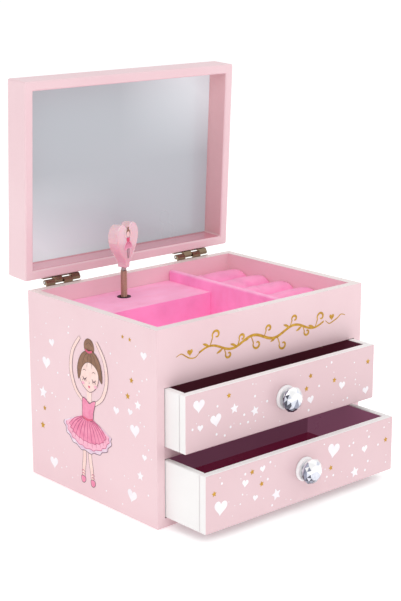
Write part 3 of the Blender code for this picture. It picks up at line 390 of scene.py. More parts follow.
def soften(item, width, segments=3):
    """Round every sharp edge, and shade the flats flat."""
    modifier = item.modifiers.new("soften", "BEVEL")
    modifier.width = width
    modifier.segments = segments
    modifier.limit_method = "ANGLE"
    modifier.angle_limit = math.radians(40)
    modifier.harden_normals = True
    item.data.shade_smooth()
    return bake(item)


def face_looks(item, looks, choose):
    """Give each face the look that choose(centre, normal) names."""
    names = list(looks)
    item.data.materials.clear()
    for name in names:
        item.data.materials.append(LOOKS[name])
    for face in item.data.polygons:
        face.material_index = names.index(choose(face.center, face.normal))
    return item


def cylinder(radius, low, high, axis, centre, segments=32):
    bm = bmesh.new()
    turn = {"X": Matrix.Rotation(math.pi / 2, 4, "Y"), "Y": Matrix.Rotation(math.pi / 2, 4, "X"),
            "Z": Matrix.Identity(4)}[axis]
    spot = Vector(centre)
    spot["XYZ".index(axis)] = (low + high) / 2
    bmesh.ops.create_cone(bm, cap_ends=True, segments=segments, radius1=radius, radius2=radius,
                          depth=abs(high - low), matrix=Matrix.Translation(spot) @ turn)
    return to_object("cylinder", bm, [])


# --- Case and lid ------------------------------------------------------------

def build_case():
    """The painted case as one soft-edged shell, hollowed for the tray, the drawers and the key."""
    left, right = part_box("side_panel_left"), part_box("side_panel_right")
    header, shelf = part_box("header_panel"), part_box("drawer_shelf")
    back, base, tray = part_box("back_panel"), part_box("base_panel"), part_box("tray_floor")
    shell = block(left[0], right[1])
    inner_left, inner_right = left[1][0], right[0][0]
    front, rear = left[0][1], back[0][1]
    clear, skin, rim_depth = 10 * MM, 2 * MM, 1.1 * MM
    ahead = front - clear
    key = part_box("winding_arbor")
    key_x, key_z = (key[0][0] + key[1][0]) / 2, (key[0][2] + key[1][2]) / 2
    tools = [
        block((inner_left, header[1][1], header[0][2]), (inner_right, rear, header[1][2] + clear)),
        block((inner_left, ahead, shelf[1][2]), (inner_right, rear, header[0][2])),
        block((inner_left, ahead, base[1][2]), (inner_right, rear, shelf[0][2])),
        block((inner_left, ahead, shelf[0][2] - MM / 2), (inner_right, shelf[0][1], shelf[1][2] + MM / 2)),
        block((inner_left, shelf[1][1], base[1][2]), (inner_right, rear, header[0][2])),
        cylinder(2.5 * MM, rear - 5 * MM, back[1][1] + 5 * MM, "Y", (key_x, 0, key_z)),
    ]
    shell.name = "case_shell"
    cut(shell, tools)
    soften(shell, 0.9 * MM)
    ceiling, top = tray[0][2], header[1][2]

    def choose(centre, normal):
        across = inner_left - MM < centre.x < inner_right + MM
        inside = across and front + skin < centre.y < back[1][1] - skin
        # Upward faces along the top take the paler rim look, partly a painted highlight.
        if centre.z > top - rim_depth and normal.z > 0.3:
            return "rim"
        # The tray's inner walls, all but the front one, take pink_inner with its glow of painted light.
        if inside and centre.z > ceiling and abs(normal.z) < 0.7:
            return "pink_inner" if centre.y > header[1][1] - MM else "pink"
        if inside and MM < centre.z < ceiling + MM and centre.y > front + 4 * MM:
            return "bay"
        return "pink"

    face_looks(shell, ("pink", "pink_inner", "rim", "bay"), choose)
    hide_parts("side_panel_left", "side_panel_right", "header_panel", "drawer_shelf", "back_panel",
                "base_panel")
    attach(shell, "case")


def lid_matrix():
    """From the shut lid's place to the open one's."""
    pivot = Vector(joint("lid_hinge")["pos_m"])
    return Matrix.Translation(pivot) @ Matrix.Rotation(-LID_OPEN, 4, "X") @ Matrix.Translation(-pivot)


def build_lid():
    """The lid as one hollow shell, made shut and then swung open."""
    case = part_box("side_panel_left")[0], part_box("side_panel_right")[1]
    rim = case[1][2] + 1.5 * MM
    wall, height, recess, slack = 6.5 * MM, 20 * MM, 17.7 * MM, 0.2 * MM
    shell = block((case[0][0], case[0][1], rim), (case[1][0], case[1][1], rim + height))
    hollow = block((case[0][0] + wall, case[0][1] + wall, rim - MM),
                   (case[1][0] - wall, case[1][1] - wall, rim + recess))
    shell.name = "lid_shell"
    cut(shell, [hollow])
    soften(shell, 1.3 * MM, 4)

    def choose(centre, normal):
        if centre.z < rim + MM and normal.z < -FACING:
            return "pink"
        reach_x, reach_y = case[1][0] - wall + slack, case[1][1] - wall + slack
        inside = abs(centre.x) < reach_x and abs(centre.y) < reach_y
        # The wall that lies lowest once the lid is open takes the darker lid paint: painted shade.
        if inside and normal.y < -FACING and centre.y > 0 and centre.z < rim + recess:
            return "pink_lid_low"
        return "pink_lid" if inside and centre.z < rim + recess else "pink"

    face_looks(shell, ("pink", "pink_lid", "pink_lid_low"), choose)
    shell.data.transform(lid_matrix())
    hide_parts("lid_top", "lid_wall_left", "lid_wall_right", "lid_wall_front", "lid_wall_back")
    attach(shell, "lid")


def screw_head(name, place, direction, body):
    """A countersunk cross-head screw."""
    bm = bmesh.new()
    layers = []
    for radius, height in SCREW_RINGS:
        layers.append([bm.verts.new((radius * MM * math.cos(math.tau * i / SCREW_SIDES),
                                     radius * MM * math.sin(math.tau * i / SCREW_SIDES), height * MM))
                       for i in range(SCREW_SIDES)])
    join_rings(bm, layers)
    bm.faces.new(layers[-1])
    bm.faces.new(layers[0][::-1])
    item = to_object(name, bm, ["steel"], 40)
    slots = []
    for angle in (0.4, 0.4 + math.pi / 2):
        slot = block((-0.75 * MM, -0.13 * MM, 0.2 * MM), (0.75 * MM, 0.13 * MM, 0.8 * MM))
        slot.data.transform(Matrix.Rotation(angle, 4, "Z"))
        slots.append(slot)
    cut(item, slots)
    coat(item.data, "steel")
    turn = Vector((0, 0, 1)).rotation_difference(Vector(direction)).to_matrix().to_4x4()
    item.data.transform(Matrix.Translation(Vector(place)) @ turn)
    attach(item, body)


def build_screws():
    """Two screw heads on each leaf of both hinges."""
    opened = lid_matrix()
    leaf, below, above = 1.1 * MM, 6 * MM, 10 * MM
    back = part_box("hinge_left_case_leaf")[0][1] + leaf
    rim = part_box("side_panel_left")[1][2]
    for side in ("left", "right"):
        low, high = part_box(f"hinge_{side}_case_leaf")
        for index, share in enumerate((0.2, 0.8)):
            across = low[0] + (high[0] - low[0]) * share
            screw_head(f"{side}_case_screw_{index + 1}", (across, back, rim - below), (0, 1, 0), "case")
            place = opened @ Vector((across, back, rim + above))
            way = opened.to_3x3() @ Vector((0, 1, 0))
            screw_head(f"{side}_lid_screw_{index + 1}", place, way, "lid")


# --- Velvet ------------------------------------------------------------------

def puff(item, low, high):
    """Inflate a closed roll as slack cloth, pinned at its foot and ends, inside its own slot.

    The solver's forces are tuned for metres, so the roll is enlarged while it is simulated.
    """
    mesh = item.data
    foot = low[2] + ROLL_PIN_RISE
    pinned = [vert.index for vert in mesh.vertices
              if vert.co.z < foot or min(vert.co.x - low[0], high[0] - vert.co.x) < ROLL_PIN_END]
    item.vertex_groups.new(name="pinned").add(pinned, 1.0, "REPLACE")
    mesh.transform(Matrix.Scale(CLOTH_SCALE, 4))
    cloth = item.modifiers.new("Cloth", "CLOTH")
    settings = cloth.settings
    settings.vertex_group_mass = "pinned"
    settings.use_pressure = True
    settings.uniform_pressure_force = CLOTH_PRESSURE
    settings.shrink_min = -CLOTH_SLACK
    settings.quality = 8
    settings.tension_stiffness = 15
    settings.compression_stiffness = 15
    settings.shear_stiffness = 5
    settings.bending_stiffness = 0.3
    settings.effector_weights.gravity = 0
    cloth.point_cache.frame_start = 1
    cloth.point_cache.frame_end = CLOTH_FRAMES
    for step in range(1, CLOTH_FRAMES + 1):
        bpy.context.scene.frame_set(step)
    bake(item)
    item.data.transform(Matrix.Scale(1 / CLOTH_SCALE, 4))
    margin = Vector((0, ROLL_MARGIN, ROLL_MARGIN))
    for vert in item.data.vertices:
        for axis in range(3):
            vert.co[axis] = min(max(vert.co[axis], low[axis] + margin[axis]), high[axis] - margin[axis])
    bpy.context.scene.frame_set(1)


def roll_mesh(name, low, high, seed):
    """A stuffed roll: superellipse crown, ends drawn in a little, and shallow puckers."""
    around, along = 44, 26
    half = (high[1] - low[1]) / 2 - ROLL_SIDE_GAP
    middle = (high[1] + low[1]) / 2
    shoulder, crest = low[2] + ROLL_SHOULDER, high[2] - ROLL_SLACK_DROP
    draw = random.Random(seed)
    phases = [(draw.uniform(0, math.tau), draw.uniform(0.5, 1.0), draw.randint(2, 5)) for _ in range(5)]
    bm = bmesh.new()
    rings = []
    for section in range(along + 1):
        share = section / along
        across = low[0] + (high[0] - low[0]) * share
        end = min(share, 1 - share)
        draw_in = 1 - 0.13 * math.exp(-end / 0.018) - 0.03 * math.exp(-end / 0.07)
        ring = []
        for step in range(around):
            angle = math.tau * step / around
            side, lift = math.cos(angle), math.sin(angle)
            side = math.copysign(abs(side) ** ROLL_POWER, side)
            lift = math.copysign(abs(lift) ** ROLL_POWER, lift)
            pucker = sum(size * math.sin(count * math.tau * share + angle * (index + 1) + phase)
                         for index, (phase, size, count) in enumerate(phases)) * ROLL_PUCKER * MM
            if lift >= 0:
                z = shoulder + (crest - shoulder) * lift * draw_in + pucker * lift
            else:
                z = shoulder + (shoulder - low[2]) * lift
            ring.append(bm.verts.new((across, middle + half * side * draw_in, z)))
        rings.append(ring)
    join_rings(bm, rings)
    for ring in (rings[0], rings[-1]):
        hub = bm.verts.new(sum((vert.co for vert in ring), Vector()) / around)
        for i in range(around):
            bm.faces.new((ring[i], ring[(i + 1) % around], hub))
    bmesh.ops.recalc_face_normals(bm, faces=bm.faces)
    return to_object(name, bm, ["velvet_roll"], 70)


def build_rolls():
    for index in range(1, ROLLS + 1):
        low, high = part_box(f"ring_roll_{index}")
        roll = roll_mesh(f"velvet_roll_{index}", low, high, 20 + index)
        puff(roll, low, high)
        roll.data.shade_smooth()
        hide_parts(f"ring_roll_{index}")
        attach(roll, "case")


def wrapped(name, boxes, node_names, tools, width):
    """Velvet-covered boards as one soft-edged body."""
    item = block(*boxes[0])
    for low, high in boxes[1:]:
        other = block(low, high)
        modifier = item.modifiers.new("join", "BOOLEAN")
        modifier.operation = "UNION"
        modifier.solver = "EXACT"
        modifier.object = other
        bake(item)
        bpy.data.objects.remove(other, do_unlink=True)
    item.name = name
    if tools:
        cut(item, tools)
    soften(item, width, 4)
    coat(item.data, "velvet")
    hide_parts(*node_names)
    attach(item, "case")
    return item


def build_velvet():
    top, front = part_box("housing_top"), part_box("housing_front")
    stem = joint("spindle_turn")["pos_m"]
    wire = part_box("stop_wire")
    notch = 1.5 * MM
    wire_x = wire[1][0] - 0.6 * MM
    wrapped("housing_cover", [top, (front[0], (front[1][0], front[1][1], top[0][2] + MM))],
            ["housing_top", "housing_front"],
            [cylinder(4.9 * MM, top[0][2] - MM, top[1][2] + MM, "Z", stem, 48),
             block((wire_x - notch, wire[1][1] - 2.1 * MM, top[0][2] - MM),
                   (wire_x + notch, top[1][1] + MM, top[1][2] + MM))], 1.0 * MM)
    wrapped("floor_lining", [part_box("tray_floor")], ["tray_floor"], [], 0.8 * MM)
    wrapped("divider_cover", [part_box("tray_divider")], ["tray_divider"], [], 1.5 * MM)


# --- Drawers and knobs -------------------------------------------------------

def dress_drawer(name):
    """Pink front, white wood and a burgundy lining, with painted shade and light: darker in the upper
    drawer, side walls lighter in the lower one.
    """
    front, walls = frame["nodes"][f"{name}_drawer_front"], frame["nodes"][f"{name}_drawer_frame"]
    wall_low, wall_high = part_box(f"{name}_drawer_frame")
    middle, reach = (wall_low[1] + wall_high[1]) / 2, wall_high[0] - 3 * MM
    # The upper drawer takes the shaded lining; the lower one takes the glowing lining, with its side walls
    # painted lighter.
    lining, side_lining = ("burgundy_deep",) * 2 if name == "upper" else ("burgundy", "burgundy_side")

    def choose_front(centre, normal):
        if normal.y < -0.5:
            return "pink_front"
        return lining if normal.y > FACING else "white"

    def choose_walls(centre, normal):
        # Inner faces of the side walls: painted light in the lower drawer, painted shade in the upper one.
        if normal.x * centre.x < 0 and abs(normal.x) > 0.3 and abs(normal.z) < 0.5:
            return side_lining
        back_inside = normal.y < -FACING and centre.y > middle and abs(centre.x) < reach
        return lining if back_inside else "white"

    face_looks(front, ("pink_front", "white", lining), choose_front)
    face_looks(walls, ("white", lining, side_lining), choose_walls)
    build_crystal(name)


def build_crystal(name):
    """A foil-backed brilliant: table, stars, kites and girdle, each facet in one of four shades of painted
    light and shade.
    """
    low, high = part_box(f"{name}_knob_crystal")
    centre_x, centre_z = (low[0] + high[0]) / 2, (low[2] + high[2]) / 2
    radius = (high[0] - low[0]) / 2
    depth = high[1] - low[1]
    facets, shade_edges = 12, (-0.25, 0.12, 0.5)
    # Each ring's share of the radius, share of the depth, and whether it is turned by half a facet.
    rings = ((0.72, 0.0, 0), (0.97, 0.34, 1), (1.03, 0.52, 0), (1.03, 0.60, 0), (0.88, 0.80, 1),
             (0.62, 0.985, 0))
    bm = bmesh.new()
    layers = []
    for share, height, shift in rings:
        layer = [bm.verts.new((centre_x + radius * share * math.cos(math.tau * (i + shift / 2) / facets),
                               high[1] - depth * height,
                               centre_z + radius * share * math.sin(math.tau * (i + shift / 2) / facets)))
                 for i in range(facets)]
        layers.append((layer, shift))
    draw = random.Random(5 if name == "upper" else 11)
    faces = []
    for (lower, shift_low), (upper, shift_high) in zip(layers, layers[1:]):
        for i in range(facets):
            ahead = (i + 1) % facets
            if shift_low == shift_high:
                faces.append((lower[i], lower[ahead], upper[ahead], upper[i]))
            elif shift_low < shift_high:
                faces += [(lower[i], lower[ahead], upper[i]), (lower[ahead], upper[ahead], upper[i])]
            else:
                faces += [(lower[i], lower[ahead], upper[ahead]), (lower[i], upper[ahead], upper[i])]
    for corners in faces:
        face = bm.faces.new(corners)
        spot = face.calc_center_median()
        # Painted light and shade: facets towards the lower left lean darker, with a random spread.
        dark = (centre_x - spot.x) * 0.5 + (centre_z - spot.z) * 0.8
        score = dark / radius + draw.uniform(-0.75, 0.75)
        face.material_index = sum(score >= edge for edge in shade_edges)
    table, _ = layers[-1]
    hub = bm.verts.new((centre_x + radius * 0.1, high[1] - depth, centre_z + radius * 0.12))
    for i in range(facets):
        face = bm.faces.new((table[i], table[(i + 1) % facets], hub))
        # Painted highlight: table facets on the upper side take the lightest shade.
        upright = math.sin(math.tau * (i + 0.5) / facets) + 0.5 * math.cos(math.tau * (i + 0.5) / facets)
        face.material_index = 0 if upright > -0.3 else draw.choice((1, 2))
    bm.faces.new(layers[0][0][::-1])
    bmesh.ops.recalc_face_normals(bm, faces=bm.faces)
    stone = to_object(f"{name}_crystal", bm, ["facet_0", "facet_1", "facet_2", "facet_3"])
    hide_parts(f"{name}_knob_crystal")
    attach(stone, f"{name}_drawer")


# --- Figure ------------------------------------------------------------------

def build_spring():
    """The close-wound stem spring."""
    low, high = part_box("stem_spring")
    x, y = (low[0] + high[0]) / 2, (low[1] + high[1]) / 2
    wire_radius = 0.3 * MM
    coil = (high[0] - low[0]) / 2 - wire_radius
    pitch = 0.64 * MM
    turns = (high[2] - low[2] - 2 * wire_radius) / pitch
    steps_in_turn, sides = 20, 6
    steps = int(turns * steps_in_turn)
    bm = bmesh.new()
    rings = []
    for step in range(steps + 1):
        angle = math.tau * turns * step / steps
        z = low[2] + wire_radius + pitch * turns * step / steps
        out = Vector((math.cos(angle), math.sin(angle), 0))
        ring = []
        for side in range(sides):
            turn = math.tau * side / sides
            spot = Vector((x, y, z)) + out * (coil + wire_radius * math.cos(turn))
            ring.append(bm.verts.new(spot + Vector((0, 0, wire_radius * math.sin(turn)))))
        rings.append(ring)
    join_rings(bm, rings)
    bm.faces.new(rings[0][::-1])
    bm.faces.new(rings[-1])
    bmesh.ops.recalc_face_normals(bm, faces=bm.faces)
    spring = to_object("stem_coil", bm, ["stem"], 80)
    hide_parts("stem_spring")
    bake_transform(spring)


# --- Print -------------------------------------------------------------------

def smooth_loop(points, steps=8, closed=True):
    """A Catmull-Rom curve through points."""
    count = len(points)

    def at(k):
        return points[k % count] if closed else points[min(max(k, 0), count - 1)]

    out = []
    for i in range(count if closed else count - 1):
        p0, p1, p2, p3 = at(i - 1), at(i), at(i + 1), at(i + 2)
        for step in range(steps):
            t = step / steps
            out.append(tuple(0.5 * (2 * b + (c - a) * t + (2 * a - 5 * b + 4 * c - d) * t ** 2
                                    + (3 * b - a - 3 * c + d) * t ** 3)
                             for a, b, c, d in zip(p0, p1, p2, p3)))
    if not closed:
        out.append(points[-1])
    return out


def heart_shape(u, v, width, tilt=0.0):
    tall = width * 0.92
    count = 36
    out = []
    for step in range(count):
        a = math.tau * step / count
        x = math.sin(a) ** 3 * width / 2
        curve = 13 * math.cos(a) - 5 * math.cos(2 * a) - 2 * math.cos(3 * a) - math.cos(4 * a)
        y = (curve + 2.5) / 29 * tall
        out.append((u + x * math.cos(tilt) - y * math.sin(tilt),
                    v + x * math.sin(tilt) + y * math.cos(tilt)))
    return out


def star_shape(u, v, size, tilt=0.15):
    out = []
    for step in range(10):
        a = math.pi / 2 + tilt + math.pi * step / 5
        radius = size / 2 * (1 if step % 2 == 0 else 0.5)
        out.append((u + radius * math.cos(a), v + radius * math.sin(a)))
    return out


def dot_shape(u, v, size, tall=None):
    tall = tall or size
    return [(u + size / 2 * math.cos(math.tau * i / 20), v + tall / 2 * math.sin(math.tau * i / 20))
            for i in range(20)]


class Print:
    """Flat printed shapes on a face, in (u to the right, v up) millimetres seen from outside."""

    def __init__(self, name, place):
        self.name = name
        self.place = place
        self.bm = bmesh.new()
        self.looks = []

    def fill(self, outline, look, layer=0):
        """A flat shape; a higher layer lies further out."""
        if look not in self.looks:
            self.looks.append(look)
        area = sum(a[0] * b[1] - b[0] * a[1] for a, b in zip(outline, outline[1:] + outline[:1]))
        if area < 0:
            outline = outline[::-1]
        lift = (PRINT_LIFT + LAYER_LIFT * layer) * MM
        corners = [self.bm.verts.new(self.place(u * MM, v * MM, lift)) for u, v in outline]
        face = self.bm.faces.new(corners)
        face.material_index = self.looks.index(look)

    def stroke(self, points, width, look, layer=0, taper=0.75, closed=False):
        """A line whose width swells towards its middle."""
        points = smooth_loop(points, 8, closed)
        if closed:
            points.append(points[0])
        last = len(points) - 1
        rails = []
        for i, (u, v) in enumerate(points):
            before, after = points[max(i - 1, 0)], points[min(i + 1, last)]
            du, dv = after[0] - before[0], after[1] - before[1]
            size = math.hypot(du, dv) or 1
            half = width / 2 * (1 - taper + taper * math.sin(math.pi * i / last))
            rails.append(((u - dv / size * half, v + du / size * half),
                          (u + dv / size * half, v - du / size * half)))
        for (a, b), (c, d) in zip(rails, rails[1:]):
            self.fill([a, b, d, c], look, layer)

    def done(self, body):
        item = to_object(self.name, self.bm, self.looks)
        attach(item, body)
        return item


# Each row: shape, look, how many, least and greatest size in millimetres.
DRAWER_MARKS = (
    ("heart", "ink_white", 2, 9.0, 11.5),
    ("star", "ink_white", 2, 6.5, 9.0),
    ("heart", "ink_white", 4, 4.2, 6.0),
    ("star", "gold", 5, 4.0, 4.2),
    ("dot", "ink_white", 14, 1.6, 1.8),
    ("dot", "ink_white", 26, 0.5, 1.3),
)
SIDE_MARKS = (
    ("heart", "ink_white", 4, 8.5, 9.5),
    ("star", "ink_white", 3, 6.0, 9.5),
    ("heart", "ink_white", 5, 4.0, 7.0),
    ("star", "gold", 6, 3.0, 6.0),
    ("dot", "ink_white", 56, 0.5, 1.5),
)

# Marks keep this gap, in millimetres, and more by this share of their size. The tilt is in radians.
MARK_GAP = 1.2
MARK_SPREAD = 0.6
MARK_TILT = 0.25
MARK_MARGIN = 3
KNOB_ROOM = 11

# The side panels' area for marks, and circles (u, v, radius) that keep them clear of the dancer.
SIDE_AREA = (-62, 6, 62, 120)
DANCER_ROOM = ((-1, 95, 21), (-2, 70, 19), (-3, 40, 27), (-3, 20, 12))


def strew(page, seed, kinds, area, avoid):
    """Hearts, stars and dots in a seeded scatter, clear of one another and of the circles in avoid."""
    draw = random.Random(seed)
    low_u, low_v, high_u, high_v = area
    taken = list(avoid)
    shapes = {"heart": heart_shape, "star": star_shape}
    for kind, look, count, least, most in kinds:
        placed = 0
        while placed < count:
            size = draw.uniform(least, most)
            reach = size / 2
            u = draw.uniform(low_u + reach, high_u - reach)
            v = draw.uniform(low_v + reach, high_v - reach)
            room = reach + MARK_GAP + MARK_SPREAD * size
            if any(math.hypot(u - a, v - b) < r + room for a, b, r in taken):
                continue
            if kind == "dot":
                page.fill(dot_shape(u, v, size), look)
            else:
                page.fill(shapes[kind](u, v, size, tilt=draw.uniform(-MARK_TILT, MARK_TILT)), look)
            taken.append((u, v, reach))
            placed += 1


def build_marks():
    """Scattered marks on the drawers and both sides, with one large heart on the right."""
    for name, seed in (("upper", 31), ("lower", 42)):
        low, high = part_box(f"{name}_drawer_front")
        page = Print(f"{name}_drawer_print", lambda u, v, lift, y=low[1]: (u, y - lift, v))
        area = (low[0] / MM + MARK_MARGIN, low[2] / MM + MARK_MARGIN,
                high[0] / MM - MARK_MARGIN, high[2] / MM - MARK_MARGIN)
        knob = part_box(f"{name}_knob_seat")
        strew(page, seed, DRAWER_MARKS, area, [(0, (knob[0][2] + knob[1][2]) / 2 / MM, KNOB_ROOM)])
        page.done(f"{name}_drawer")
    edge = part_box("side_panel_left")[0][0]
    side = Print("left_side_print", lambda u, v, lift: (edge - lift, -u, v))
    strew(side, 53, SIDE_MARKS, SIDE_AREA, DANCER_ROOM)
    side.done("case")
    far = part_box("side_panel_right")[1][0]
    other = Print("right_side_print", lambda u, v, lift: (far + lift, u, v))
    other.fill(heart_shape(0, 66, 22), "ink_white")
    strew(other, 64, SIDE_MARKS, SIDE_AREA, [(0, 66, 12)])
    other.done("case")


def vine_height(step):
    return VINE_HEIGHT + VINE_SWING * math.sin(math.tau * step / VINE_WAVE)


def build_flourish():
    """A gold vine on the header: one long wave with curled tendrils, leaves and hearts."""
    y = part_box("header_panel")[0][1]
    page = Print("header_print", lambda u, v, lift: (u, y - lift, v))
    spine = []
    for step in range(VINE_STEPS + 1):
        spine.append((VINE_START + VINE_LENGTH * step / VINE_STEPS, vine_height(step)))
    page.stroke(spine, 1.9, "gold", 0, 0.35)
    first, spacing = -47, 11.6
    for index in range(9):
        u = first + spacing * index
        base = vine_height((u - VINE_START) / VINE_LENGTH * VINE_STEPS)
        way = 1 if index % 2 == 0 else -1
        reach = 9.5 if index in (0, 3, 5, 8) else 7.2
        curl = [(u, base)]
        for step in range(12):
            angle = math.pi * 1.15 - step * 0.52
            radius = reach * 0.36 * (1 - step / 16)
            curl.append((u + reach * 0.55 + radius * math.cos(angle) * 1.05,
                         base + way * (reach * 0.66 + radius * math.sin(angle))))
        page.stroke(curl, 1.6, "gold", 1, 0.55)
        leaf = [(u - 0.5, base), (u - 3.2, base + way * 2.2), (u - 6.2, base + way * 2.4),
                (u - 3.6, base + way * 0.5)]
        page.fill(smooth_loop(leaf, 6), "gold", 1)
    for sign, u in ((-1, -63.4), (1, 61.5)):
        page.fill(heart_shape(u, 108.6, 4.6), "gold", 1)
        tail = [(sign * 55.5, 107.4), (sign * 59, 104.9), (u, 105.2), (sign * 67, 107.2),
                (sign * 70.5, 109.2), (sign * 74.5, 108.0)]
        page.stroke(tail, 0.9, "gold", 0, 0.5)
    page.done("case")


def build_dancer():
    """The dancer on the left side: a plain ballerina with her arms raised and her hair in a bun."""
    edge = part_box("side_panel_left")[0][0]
    page = Print("dancer_print", lambda u, v, lift: (edge - lift, -u, v))
    draw_bun(page)
    draw_legs(page)
    draw_skirt(page)
    draw_body(page)
    draw_head(page)
    page.done("case")


def outlined(page, points, look, layer, width=0.4, ink="line"):
    """A filled shape with a thin line around it."""
    loop = smooth_loop(points, 8)
    page.fill(loop, look, layer)
    page.stroke(points, width, ink, layer + 1, 0.0, closed=True)


def limb(page, points, outer, inner, layer, taper):
    """An arm or a leg: a dark line with a narrower one of skin on it."""
    page.stroke(points, outer, "line", layer, taper)
    page.stroke(points, inner, "skin", layer + 1, taper)


def draw_bun(page):
    outlined(page, dot_shape(-0.5, 103, 10.5)[::3], "hair", 0, 0.4, "hair_line")
    page.stroke([(-4, 103.5), (-0.5, 105.6), (3, 103.5)], 0.4, "hair_line", 2, 0.5)
    page.stroke([(-4, 100.6), (-0.5, 99.4), (3, 100.6)], 1.4, "rose", 30, 0.2)


def draw_legs(page):
    for points, foot in ((((-7.5, 38), (-7.2, 28), (-8.2, 20), (-8.6, 13.5)), (-8.9, 11.6)),
                         (((-1.5, 38), (-1.4, 28), (0.0, 20), (0.6, 13)), (1.2, 11.0))):
        limb(page, points, 4.0, 3.3, 2, 0.25)
        u, v = foot
        outlined(page, [(u - 1.9, v + 2.2), (u + 1.9, v + 2.2), (u + 2.4, v - 0.4), (u + 0.4, v - 2.2),
                        (u - 1.8, v - 1.4)], "dress", 4)
        for rise in (3.6, 5.6):
            ribbon = [(u - 1.6, v + rise), (u, v + rise + 0.8), (u + 1.8, v + rise)]
            page.stroke(ribbon, 0.5, "dress_line", 6, 0.2)


def draw_skirt(page):
    centre = (-3.5, 56)
    tiers = ((25, 31.5, 8, "lace"), (22.5, 34, 9, "dress_light"), (19, 38.5, 10, "dress"))
    for tier, (reach, foot, waves, look) in enumerate(tiers):
        outline = [(centre[0] - 4.5, centre[1])]
        for step in range(49):
            share = step / 48
            angle = math.pi * (1 + share)
            ripple = 1 + 0.035 * math.sin(share * math.tau * waves)
            u = centre[0] + reach * math.cos(angle) * ripple
            v = 47.5 + (47.5 - foot) * math.sin(angle) * ripple
            outline.append((u, v))
        outline.append((centre[0] + 4.5, centre[1]))
        page.fill(outline, look, 7 + 2 * tier)
        page.stroke(outline[1:-1:2], 0.45, "dress_line" if tier else "line", 8 + 2 * tier, 0.0)
    for index in range(13):
        share = (index + 0.5) / 13
        angle = math.pi * (1 + share)
        end = (centre[0] + 20.5 * math.cos(angle), 47 + 11.5 * math.sin(angle))
        start = (centre[0] + 3.6 * math.cos(angle), centre[1] - 1)
        bend = ((start[0] + end[0]) / 2 + 1.2 * math.cos(angle), (start[1] + end[1]) / 2 + 1.5)
        page.stroke([start, bend, end], 0.6, "dress_line", 14, 0.7)


def draw_body(page):
    for sign in (-1, 1):
        arm = [(-1.4 + sign * u, v)
               for u, v in ((5.6, 65.5), (14, 72), (18.6, 84), (16.4, 97), (8.6, 107.5))]
        limb(page, arm, 3.4, 2.8, 15, 0.3)
    page.fill([(-3.6, 75), (1.6, 75), (1.2, 66.5), (-3.2, 66.5)], "skin", 15)
    outlined(page, [(-8, 67.5), (-4, 67), (-1, 65.2), (2, 67), (5.4, 67.5), (3.2, 60), (2.2, 54.5),
                    (-3, 53.4), (-8.2, 54.5), (-8.6, 60)], "dress", 17)
    page.stroke([(-8, 55), (-3, 53.8), (2.2, 55)], 1.5, "rose", 19, 0.1)


def draw_head(page):
    outlined(page, [(-10.5, 83), (-9.5, 89.5), (-3, 94.5), (5, 93.5), (9, 87), (8.2, 80), (4, 75), (-1, 73),
                    (-6.6, 75.6), (-9.8, 79.4)], "skin", 20)
    for u, lean in ((-5.4, -1), (4.2, 1)):
        page.stroke([(u - 2, 82.2), (u, 80.6), (u + 2, 82.2)], 0.8, "line", 22, 0.5)
        for step in (-1, 0, 1):
            page.stroke([(u + step * 1.3, 81.0), (u + step * 1.9 + lean * 0.3, 79.2)], 0.4, "line", 22, 0.3)
        page.stroke([(u - 1.8, 86.2), (u, 87.2), (u + 1.8, 86.4)], 0.4, "hair_line", 22, 0.5)
        page.fill(dot_shape(u + lean * 1.6, 77.8, 3.0, 2.0), "dress_light", 22)
    page.fill(heart_shape(-0.8, 76.2, 2.2), "rose", 23)
    page.stroke([(-0.9, 80), (-0.5, 78.8), (-1.1, 78.6)], 0.3, "line", 22, 0.3)
    outlined(page, [(-12, 80), (-12.6, 88), (-8.5, 96.5), (-1, 100.5), (6.5, 99), (11.5, 92), (12.6, 82),
                    (10, 84), (7.6, 89.5), (2, 92.6), (-3.4, 92), (-7.8, 88), (-10, 82)],
             "hair", 24, 0.4, "hair_line")
    for shift in range(4):
        strand = [(-1 + shift, 99.5), (-5 + shift * 3.4, 96), (-8 + shift * 5.2, 89)]
        page.stroke(strand, 0.4, "hair_line", 26, 0.7)


def build_heart_print():
    """A small dancer with raised arms printed on the heart's face."""
    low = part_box("heart_topper")[0]
    pivot = Vector(joint("figure_spin")["pos_m"])
    turn = Matrix.Rotation(HEART_YAW, 3, "Z")
    thickness = 7.6
    depth = thickness / 2 * MM

    def place(u, v, lift):
        spot = turn @ Vector((u, -depth - lift, 0))
        return (pivot.x + spot.x, pivot.y + spot.y, low[2] + v)

    page = Print("heart_print", place)
    page.fill(smooth_loop([(-5, 14), (-3, 17.5), (0, 18.5), (3, 17.5), (5, 14), (2.6, 12.6), (0, 13.4),
                           (-2.6, 12.6)]), "dress_light", 1)
    for index in range(7):
        u = -4.2 + 1.4 * index
        page.stroke([(u * 0.3, 17.6), (u * 0.8, 15.4), (u, 13.4)], 0.5, "dress_line", 2, 0.5)
    page.fill(smooth_loop([(-1.6, 18), (-1.9, 21), (0, 20.4), (1.9, 21), (1.6, 18)]), "rose", 3)
    page.fill(dot_shape(0, 23.2, 3.6, 3.9), "skin", 3)
    page.fill(smooth_loop([(-2.2, 23), (-1.8, 25.4), (0.2, 26.2), (2.2, 25), (2.3, 22.6), (1.2, 24.4),
                           (-1, 24.6)]), "hair", 4)
    for sign in (-1, 1):
        page.stroke([(sign * 0.8, 13), (sign * 0.9, 9.5), (sign * 0.5, 6.5)], 0.9, "mauve", 2, 0.2)
        page.stroke([(sign * 1.7, 20.4), (sign * 3.8, 22.5), (sign * 3.4, 25.8)], 0.7, "skin", 3, 0.2)
    page.fill(dot_shape(0, 26.8, 2.2), "hair", 4)
    page.done("figure")


# --- Node finishes, light and camera -----------------------------------------

